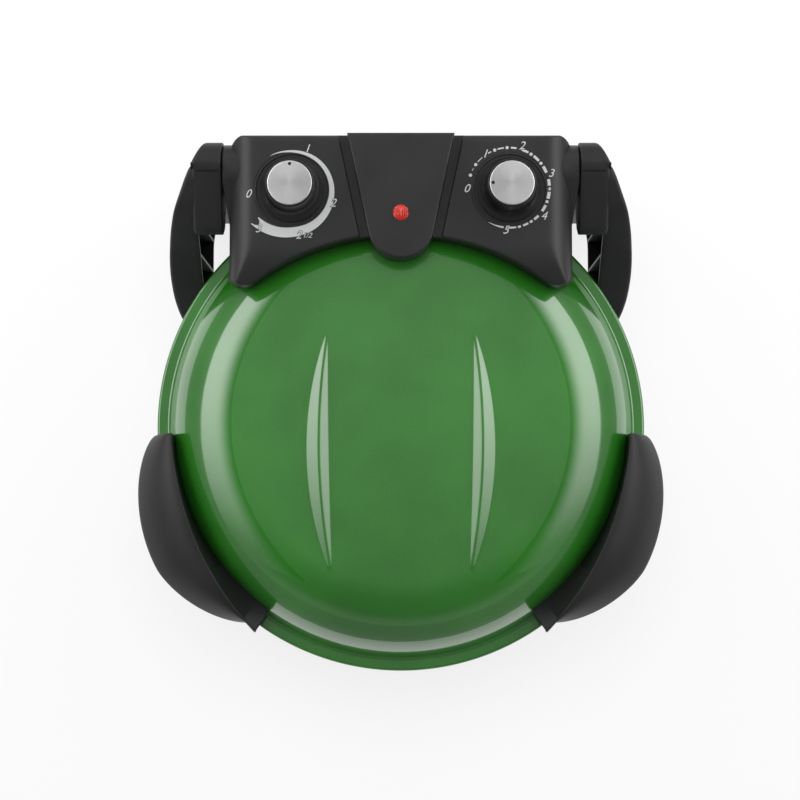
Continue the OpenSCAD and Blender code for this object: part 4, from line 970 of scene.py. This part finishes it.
def timer_marks():
    """Dots and dashes that thicken clockwise, then a closing arc that thins out."""
    centre = (KNOB_X - 0.6, KNOB_Y + 1.6)
    reach = 28.6
    dots = [162, 145, 110.4, 92.4, 56.6, 37.3, -1.6, -20.6, -57.2, -75.4]
    dashes = [(155, 151), (140, 131), (121, 116), (106, 97), (87, 79), (71, 61), (52, 42), (32, 22), (12, 3),
              (-6, -16), (-26, -36), (-44, -52), (-62, -70), (-80, -92)]
    patches = [dot(centre, a, reach, 1.15) for a in dots]
    for start, end in dashes:
        middle = (start + end) / 2
        half = np.interp(middle, [-90, -70, -55, 20, 150], [0.7, 0.85, 1.1, 1.1, 0.2])
        turn = np.linspace(start, end, 12)
        patches.append(band(centre, turn, np.full(12, reach - half), np.full(12, reach + half)))
    turn = np.linspace(-98, -120.5, 16)
    half = np.linspace(0.7, 0.08, 16)
    patches.append(band(centre, turn, reach - half, reach + half))
    return patches


def numerals(name, marks, finish, size, bolder, lift):
    """Plain slanted figures laid on the panel; bolder widens the strokes and lift raises them."""
    corners = []
    faces = []
    for text, x, y, scale in marks:
        curve = bpy.data.curves.new("figure", "FONT")
        curve.body = text
        curve.align_x = "CENTER"
        curve.align_y = "CENTER"
        curve.size = size * scale * MM
        curve.shear = 0.35
        curve.offset = bolder * MM
        curve.extrude = 0.15 * MM
        figure = bpy.data.objects.new("figure", curve)
        mesh = bpy.data.meshes.new_from_object(figure)
        points = np.zeros(len(mesh.vertices) * 3)
        mesh.vertices.foreach_get("co", points)
        points = points.reshape(-1, 3) / MM + np.array([x, y, lift - 0.15])
        points[:, 2] += panel_height(points[:, 0], points[:, 1])
        points = oven(points)
        faces += [[v + len(corners) for v in p.vertices] for p in mesh.polygons]
        corners += points.tolist()
        bpy.data.objects.remove(figure)
        bpy.data.curves.remove(curve)
        bpy.data.meshes.remove(mesh)
    mesh = bpy.data.meshes.new(name)
    mesh.from_pydata(corners, [], faces)
    work = bmesh.new()
    work.from_mesh(mesh)
    bmesh.ops.remove_doubles(work, verts=work.verts, dist=0.002 * MM)
    work.to_mesh(mesh)
    work.free()
    piece = bpy.data.objects.new(name, mesh)
    SCENE.collection.objects.link(piece)
    return finish_piece(piece, finish, "lid", ())


def beside(side, dx, dy, text, scale=1.0):
    """A figure placed by its distance from a knob's axis."""
    return text, side * KNOB_X + dx, KNOB_Y + dy, scale


TEMPERATURE_FIGURES = [
    beside(-1, -31.2, -2.8, "0"), beside(-1, 10.5, 29.3, "1"), beside(-1, 28.9, -9.6, "2"),
    beside(-1, 4.7, -32.4, "2"), beside(-1, 10.8, -32.6, "1/2", 0.62), beside(-1, -23.9, -27.8, "3"),
]
TIMER_FIGURES = [
    beside(1, -30.7, 0.8, "0"), beside(1, -17.7, 25.6, "1"), beside(1, 8.5, 31.4, "2"),
    beside(1, 29.1, 11.9, "3"), beside(1, 23.7, -18.8, "4"), beside(1, -3.2, -28.8, "5"),
]
FIGURE_SIZE = 8.3

build("temperature_scale", temperature_marks(), "print", "lid", sharp=40)
build("timer_scale", timer_marks(), "print", "lid", sharp=40)
numerals("figure_grounds", TEMPERATURE_FIGURES + TIMER_FIGURES, "panel", FIGURE_SIZE, 0.34, 0.08)
numerals("dial_figures", TEMPERATURE_FIGURES + TIMER_FIGURES, "print", FIGURE_SIZE, 0.0, 0.13)

# ---- Lid handles ----

WING_MID = 31
WING_REAR_SPAN = 28.5
WING_FRONT_SPAN = 22
WING_TAIL = 2
WING_REACH = 27
WING_INSET = 15
WING_DRIFT = 17
WING_TOP = 42
WING_LIP = 13
WING_WALL = 3.0
TIP_ROUND = 3.0


def wing_radii(a):
    """Inner and outer radius of a handle at angle a from the side toward the front."""
    behind = a < WING_MID
    u = np.where(behind, (WING_MID - a) / WING_REAR_SPAN, (a - WING_MID) / WING_FRONT_SPAN)
    u = np.clip(u, 0, 1)
    bulge = np.where(behind, (1 - u ** 1.6) ** 0.7, (1 - u ** 1.5) ** 0.8)
    inner = RIM_R - WING_INSET + WING_DRIFT * (np.clip(a - 12, 0, None) / 43) ** 1.7
    return inner, np.maximum(RIM_R + WING_REACH * bulge, inner + 3.2)


def wing_section(a):
    """One closed section of the hollow handle: leaning inner wall, crest land, face 1 - s ** 1.7, lip and back."""
    inner, outer = (float(v) for v in wing_radii(np.array(a)))
    lip = PARTING + WING_LIP
    low = PARTING + 5.5
    base = RIM_R - WING_INSET
    rise = WING_TOP - 14 * (abs(a - 24) / 31) ** 2.2 - WING_LIP
    wall = min(WING_WALL, (outer - inner) * 0.42)
    land = min(1.2, (outer - inner) * 0.25)
    s = np.linspace(0, 1, 22)
    face = np.stack([inner + land + (outer - inner - land) * s, lip + rise * (1 - s ** 1.7)], 1)
    crest = arc((inner + 0.9, lip + rise - 0.9), 0.9, 180, 90, 6)
    edge = arc((outer - 1, low + 1), 1, 0, -90, 4)
    back_s = np.linspace(1, 0, 14)
    inside = base + wall
    back = np.stack([
        inner + wall + (outer - inner - 2 * wall) * back_s,
        np.maximum(lip + rise * (1 - back_s ** 1.7) - 3.4, low + 0.5)], 1)
    under = clear_of_dish(np.array([base, inside]), np.zeros(2), low)
    ring = np.concatenate([[[base, under[0]]], crest, face, edge, [[outer - wall, low]], back,
                           [[inside, max(under[1], low)]]])
    return np.stack([-ring[:, 0] * cosd(a), -ring[:, 0] * sind(a), ring[:, 1]], -1)


def wing_patches():
    """Sections set close together at both tips, where the outline turns quickest and they shrink to a round."""
    tip_share = 0.16
    t = np.linspace(0, np.pi, 96)
    span = WING_REAR_SPAN + WING_FRONT_SPAN + WING_TAIL
    angles = WING_MID - WING_REAR_SPAN + span * (1 - np.cos(t)) / 2
    sections = np.array([wing_section(a) for a in angles])
    nearest_end = np.minimum(angles - angles[0], angles[-1] - angles) * math.radians(RIM_R)
    short = np.clip(1 - nearest_end / TIP_ROUND, 0, 1)
    size = (1 - tip_share * (1 - np.sqrt(1 - short ** 2)))[:, None, None]
    middle = sections.mean(1, keepdims=True)
    return [capped(middle + (sections - middle) * size)]


build("grip_left", wing_patches(), "nylon", "lid", ["lid_handle_left"], sharp=42)
build("grip_right", mirrored(wing_patches()), "nylon", "lid", ["lid_handle_right"], sharp=42)

# ---- Front legs ----

LEG_MID = 28
LEG_SPAN = 36
LEG_OUT = RIM_R + 14
LEG_TOP = PARTING - 18
LEG_SECTION = [
    (168, 3, 2), (188, 3, 3), (LEG_OUT, 0.45 * LEG_TOP, 60), (LEG_OUT - 1, 0.8 * LEG_TOP, 25),
    (LEG_OUT - 5, 0.95 * LEG_TOP, 7), (LEG_OUT - 11, LEG_TOP, 5), (166.5, LEG_TOP, 1.5),
    (161, 63.2, 8), (151, 50.2, 2), (150, 46.8, 1.5),
]


def leg_ring(outline, turn):
    """A section of (radius, height) set upright at an angle from the left side toward the front."""
    return np.stack([-outline[:, 0] * cosd(turn), -outline[:, 0] * sind(turn), outline[:, 1]], -1)


def leg_patches():
    """The leg's section swept round the oven, closed below, with both end edges rounded."""
    edge = 3.0
    outline = resample(rounded(LEG_SECTION), 1.5)
    first = LEG_MID - LEG_SPAN / 2
    last = first + LEG_SPAN
    rounding = [(shrunk(outline, edge * (1 - sind(a))), math.degrees(edge * (1 - cosd(a)) / RIM_R))
                for a in np.linspace(0, 90, 7)]
    ends = math.degrees(edge / RIM_R)
    sections = [leg_ring(ring, first + turn) for ring, turn in rounding]
    sections += [leg_ring(outline, turn) for turn in np.linspace(first + ends, last - ends, 30)[1:-1]]
    sections += [leg_ring(ring, last - turn) for ring, turn in rounding[::-1]]
    return [capped(np.array(sections))]


build("leg_left", leg_patches(), "nylon", "base", ["front_leg_left"], sharp=42)
build("leg_right", mirrored(leg_patches()), "nylon", "base", ["front_leg_right"], sharp=42)

# ---- Hinge arms ----

ARM_INNER = 147
ARM_HEAD = BARREL_END + 0.6
ARM_WALL = 3.5
ARM_SIDE = [
    (183, 155.4, 5), (174, 156, 20), (152, 146, 30), (128, 116, 40), (103, 93, 25), (81, 82, 9),
    (74, 72, 12), (74, 22, 9), (146, 22, 12), (163, 4, 5), (183, 3, 5),
]
ARM_HEAD_SIDE = [
    (202, 157, 21.5), (178, 157.5, 24), (137, 139.5, 4), (135.5, 131, 4), (141, 121, 8), (163.5, 109, 6),
    (166, 3, 3), (193.5, 3, 3), (201.2, 112, 60),
]
BOW_WIDEST = HINGE_Y - 69
BOW_SIDE = RIM_R - 9.3
BOW_NOSE_R = 72
BOW_R = 108
TAPER_Y = 152.85
TAPER = 0.42036
RIB_PLACES = (100, 124, 148, 172)
RIB_T = 2


def bow_x(y):
    """Outer face of an arm, seen from above: a short arc in front of its widest place, a longer one behind it,
    then a straight taper to the hinge."""
    front = BOW_SIDE - BOW_NOSE_R + np.sqrt(np.clip(BOW_NOSE_R ** 2 - (BOW_WIDEST - y) ** 2, 0, None))
    back = np.clip(y, None, TAPER_Y) - BOW_WIDEST
    behind = BOW_SIDE - BOW_R + np.sqrt(np.clip(BOW_R ** 2 - back ** 2, 0, None))
    return np.where(y < BOW_WIDEST, front, behind - TAPER * np.clip(y - TAPER_Y, 0, None))


def bowed_shell(outline, start, edge, middle, under=0.0, limit=200.0):
    """A hollow slab from the plane x = start to the bowed face, or to limit where that is nearer: the hollow, the
    rim, the outline, its round and the face."""
    rim_edge = 0.8

    def under_face(ring, depth):
        """A ring of (y, z) at a depth under the bowed face."""
        return on_plane_x(np.minimum(bow_x(ring[:, 0]) - under, limit) - depth, ring)

    hollow = shrunk(outline, ARM_WALL)
    rows = [under_face(ring, ARM_WALL) for ring in drawn_in(hollow, middle, 14)[::-1] + [hollow]]
    inside = rows[-1][:, 0]
    rows += [on_plane_x(start + (inside - start) * s, hollow) for s in np.linspace(0.8, 0, 5)]
    for a in np.radians(np.linspace(0, 90, 4)):
        rows.append(on_plane_x(start + rim_edge * (1 - math.cos(a)), shrunk(outline, rim_edge * (1 - math.sin(a)))))
    outer = under_face(outline, edge)[:, 0]
    for s in np.linspace(0, 1, 8)[1:]:
        rows.append(on_plane_x(start + rim_edge + (outer - start - rim_edge) * s, outline))
    for a in np.radians(np.linspace(0, 90, 7))[1:]:
        rows.append(under_face(shrunk(outline, edge * (1 - math.cos(a))), edge * (1 - math.sin(a))))
    rows += [under_face(ring, 0) for ring in drawn_in(shrunk(outline, edge), middle, 26)]
    return np.array(rows), False, True


def arm_patches():
    """The bowed slab, the hinge head with the rear leg inside it, the ribs of the hollow and the lug."""
    outline = resample(rounded(ARM_SIDE), 1.6)
    slab = bowed_shell(outline, ARM_INNER, 2.6, np.array([140.0, 78.0]))
    side = resample(rounded(ARM_HEAD_SIDE), 1.2)
    head = bowed_shell(side, ARM_HEAD, 2.2, np.array([180.0, 110.0]), 0.3, ARM_INNER + 2)
    ribs = [rib_patch(y, outline) for y in RIB_PLACES]
    return [slab, head, head_cheek(side)] + ribs + [lug_patch()]


def head_cheek(outline):
    """The solid part of the head over the leg's hollow: its flat inner face and the ceiling of the hollow."""
    ceiling = 109
    below = int(np.argmax(outline[:, 1] <= ceiling))
    turned = np.roll(outline, -below, 0)
    edge = shrunk(resample(turned[turned[:, 1] > ceiling], 1.4), 0.9)
    face = shrunk(edge, 0.4)
    rows = [on_plane_x(ARM_INNER - 6.0, edge), on_plane_x(ARM_HEAD + 0.4, edge)]
    rows += [on_plane_x(ARM_HEAD + 0.02, ring) for ring in [face] + drawn_in(face, np.array([176.0, 132.0]), 8)]
    return np.array(rows), False, True


def rib_patch(y, outline):
    """A rib across the hollow: a thin plate from the inner rim to the bowed wall."""
    near = np.abs(outline[:, 0] - y) < 2.2
    low = outline[near, 1].min() + 2
    high = outline[near, 1].max() - 2
    wall_x = bow_x(np.array(y + RIB_T / 2)) - 2
    section = ((y, low), (y + RIB_T, low), (y + RIB_T, high), (y, high))
    return capped(np.array([[(x, *corner) for corner in section] for x in (ARM_INNER + 0.2, wall_x)], float))


def lug_patch():
    """The block that reaches in from the arm and seats against the dish."""
    turn = 29
    far = 172.0
    half = 10
    rows = []
    for z in (29, 36, 50, 64, 76, 82):
        near = float(skin_radius(PARTING - z)) + SEAT_GAP
        ring = np.array([(near, -half), (far, -half), (far, half), (near, half)])
        x = ring[:, 0] * cosd(turn) - ring[:, 1] * sind(turn)
        y = ring[:, 0] * sind(turn) + ring[:, 1] * cosd(turn)
        x = np.minimum(x, bow_x(y) - 1)
        rows.append(np.column_stack([x, y, np.full(4, float(z))]))
    return capped(np.array(rows))


build("arm_right", arm_patches(), "nylon", "base", ["hinge_arm_right"], sharp=42)
build("arm_left", mirrored(arm_patches()), "nylon", "base", ["hinge_arm_left"], sharp=42)

# ---- Finish of the solids that show as they are ----

for name, node in frame["nodes"].items():
    slot = next(part["material_slot"] for part in frame["record"]["subparts"] if part["node"] == name)
    node.data.materials.clear()
    node.data.materials.append(NODE_FINISH[slot])

# ---- Studio, in metres ----

WHITE = (1, 1, 1, 1)
FLOOR_HALF = 6
FLOOR_GLOW = 0.8
FLAG_R = 0.56
FLAG_TOP = 0.24
FLAG_GREY = (0.22, 0.22, 0.22, 1)
BOX_FOOT = (1.14, 0.43)
BOX_TOP = (0.56, 0.98)
BOX_FADE = 0.72
BOX_RADIANCE = 2.8
BOX_Y = (-0.9, 1.8)
FILL_POWER = 23
FILL_SIZE = 1.6
FILL_PLACE = (0, 0.8, 2.1)


def emitter(name, colour):
    """A material that only gives light: the material, its tree and its emission shader."""
    material = bpy.data.materials.new(name)
    material.use_nodes = True
    tree = material.node_tree
    tree.nodes.clear()
    out = add(tree, "ShaderNodeOutputMaterial")
    glow = add(tree, "ShaderNodeEmission", inputs={"Color": colour, "Strength": 1.0})
    tree.links.new(glow.outputs[0], out.inputs["Surface"])
    return material, tree, glow


def faded(tree, space, level, ramps):
    """A level lowered by gentle ramps, each (axis, start, end, share at its start, share at its end)."""
    axes = add(tree, "ShaderNodeSeparateXYZ", inputs={0: (add(tree, "ShaderNodeTexCoord"), space)})
    for axis, start, end, first, last in ramps:
        ramp = add(tree, "ShaderNodeMapRange", {"interpolation_type": "SMOOTHSTEP"}, {
            "Value": (axes, axis), "From Min": start, "From Max": end, "To Min": first, "To Max": last})
        level = (add(tree, "ShaderNodeMath", {"operation": "MULTIPLY"}, {0: level, 1: (ramp, 0)}), 0)
    return level


def floor_material():
    """Pale matt sweep: white paper that stays white in view and keeps the object's shadow."""
    material, tree, shader, _ = new_material("pale_paper_sweep", {
        "Base Color": hex_colour("#f4f4f4"), "Roughness": 0.9, "Specular IOR Level": 0.1})
    out = next(n for n in tree.nodes if n.type == "OUTPUT_MATERIAL")
    path = add(tree, "ShaderNodeLightPath")
    seen = (path, "Is Camera Ray")
    for ray in ("Is Glossy Ray", "Is Transmission Ray"):
        seen = (add(tree, "ShaderNodeMath", {"operation": "MAXIMUM"}, {0: seen, 1: (path, ray)}), 0)
    share = add(tree, "ShaderNodeMath", {"operation": "MULTIPLY"}, {0: seen, 1: FLOOR_GLOW})
    glow = add(tree, "ShaderNodeEmission", inputs={"Color": WHITE, "Strength": 1.0})
    mix = add(tree, "ShaderNodeMixShader", inputs={0: (share, 0), 1: (shader, 0), 2: (glow, 0)})
    tree.links.new(mix.outputs[0], out.inputs["Surface"])
    return material


def flat_mesh(name, corners, faces, material):
    """A piece of the studio from its corners and faces."""
    mesh = bpy.data.meshes.new(name)
    mesh.from_pydata(corners, [], faces)
    mesh.materials.append(material)
    piece = bpy.data.objects.new(name, mesh)
    SCENE.collection.objects.link(piece)
    return piece


def grey_flag():
    """A low ring of grey card, out of view, that keeps the far floor out of the enamel's reflections."""
    count = 96
    turns = np.linspace(0, 2 * np.pi, count, endpoint=False)
    ring = [(FLAG_R * math.cos(t), FLAG_R * math.sin(t) + AXIS_Y, z) for z in (0.002, FLAG_TOP) for t in turns]
    faces = [(k, (k + 1) % count, count + (k + 1) % count, count + k) for k in range(count)]
    flag = flat_mesh("grey_flag", ring, faces, emitter("grey_card", FLAG_GREY)[0])
    flag.visible_camera = False
    flag.visible_diffuse = False
    flag.visible_transmission = False
    flag.visible_shadow = False


def softbox(name, side):
    """A strip softbox: even across its face, fading softly at its upper edge and toward the front. The face runs
    up from its sharp lower edge; position is read from object coordinates."""
    material, tree, glow = emitter("softbox_face_" + name, WHITE)
    node, output = faded(tree, "Object", BOX_RADIANCE, [
        ("Z", BOX_FADE, BOX_TOP[1], 1.0, 0.0), ("Y", -0.75, 0.35, 0.12, 1.0)])
    tree.links.new(node.outputs[output], glow.inputs["Strength"])
    corners = [(side * x, y, z) for x, z in (BOX_FOOT, BOX_TOP) for y in BOX_Y]
    flat_mesh("softbox_" + name, corners, [(0, 1, 3, 2)], material).visible_camera = False


def overhead_fill():
    """A wide overhead light for matt surfaces only: it lifts the colours without a reflection in the enamel."""
    light = bpy.data.lights.new("overhead_fill", "AREA")
    light.shape = "DISK"
    light.size = FILL_SIZE
    light.energy = FILL_POWER
    lamp = bpy.data.objects.new("overhead_fill", light)
    SCENE.collection.objects.link(lamp)
    lamp.location = FILL_PLACE
    lamp.visible_camera = False
    lamp.visible_glossy = False


def studio_world():
    """A grey studio, paler toward the horizon and darker in front, and plain white behind the view."""
    world = bpy.data.worlds.new("studio")
    SCENE.world = world
    world.use_nodes = True
    tree = world.node_tree
    tree.nodes.clear()
    out = add(tree, "ShaderNodeOutputWorld")
    level = faded(tree, "Generated", 1.0, [("Z", 0.3, 0.55, 0.95, 0.31), ("Y", -0.7, 0.1, 0.35, 1.0)])
    sky = add(tree, "ShaderNodeBackground", inputs={"Color": WHITE, "Strength": level})
    backdrop = add(tree, "ShaderNodeBackground", inputs={"Color": WHITE, "Strength": 1.0})
    path = add(tree, "ShaderNodeLightPath")
    mix = add(tree, "ShaderNodeMixShader", inputs={0: (path, "Is Camera Ray"), 1: (sky, 0), 2: (backdrop, 0)})
    tree.links.new(mix.outputs[0], out.inputs["Surface"])


floor_corners = [(x, y, 0) for x, y in ((-1, -1), (1, -1), (1, 1), (-1, 1))]
flat_mesh("floor", (np.array(floor_corners) * FLOOR_HALF).tolist(), [(0, 1, 2, 3)], floor_material())
grey_flag()
softbox("left", -1)
softbox("right", 1)
overhead_fill()
studio_world()
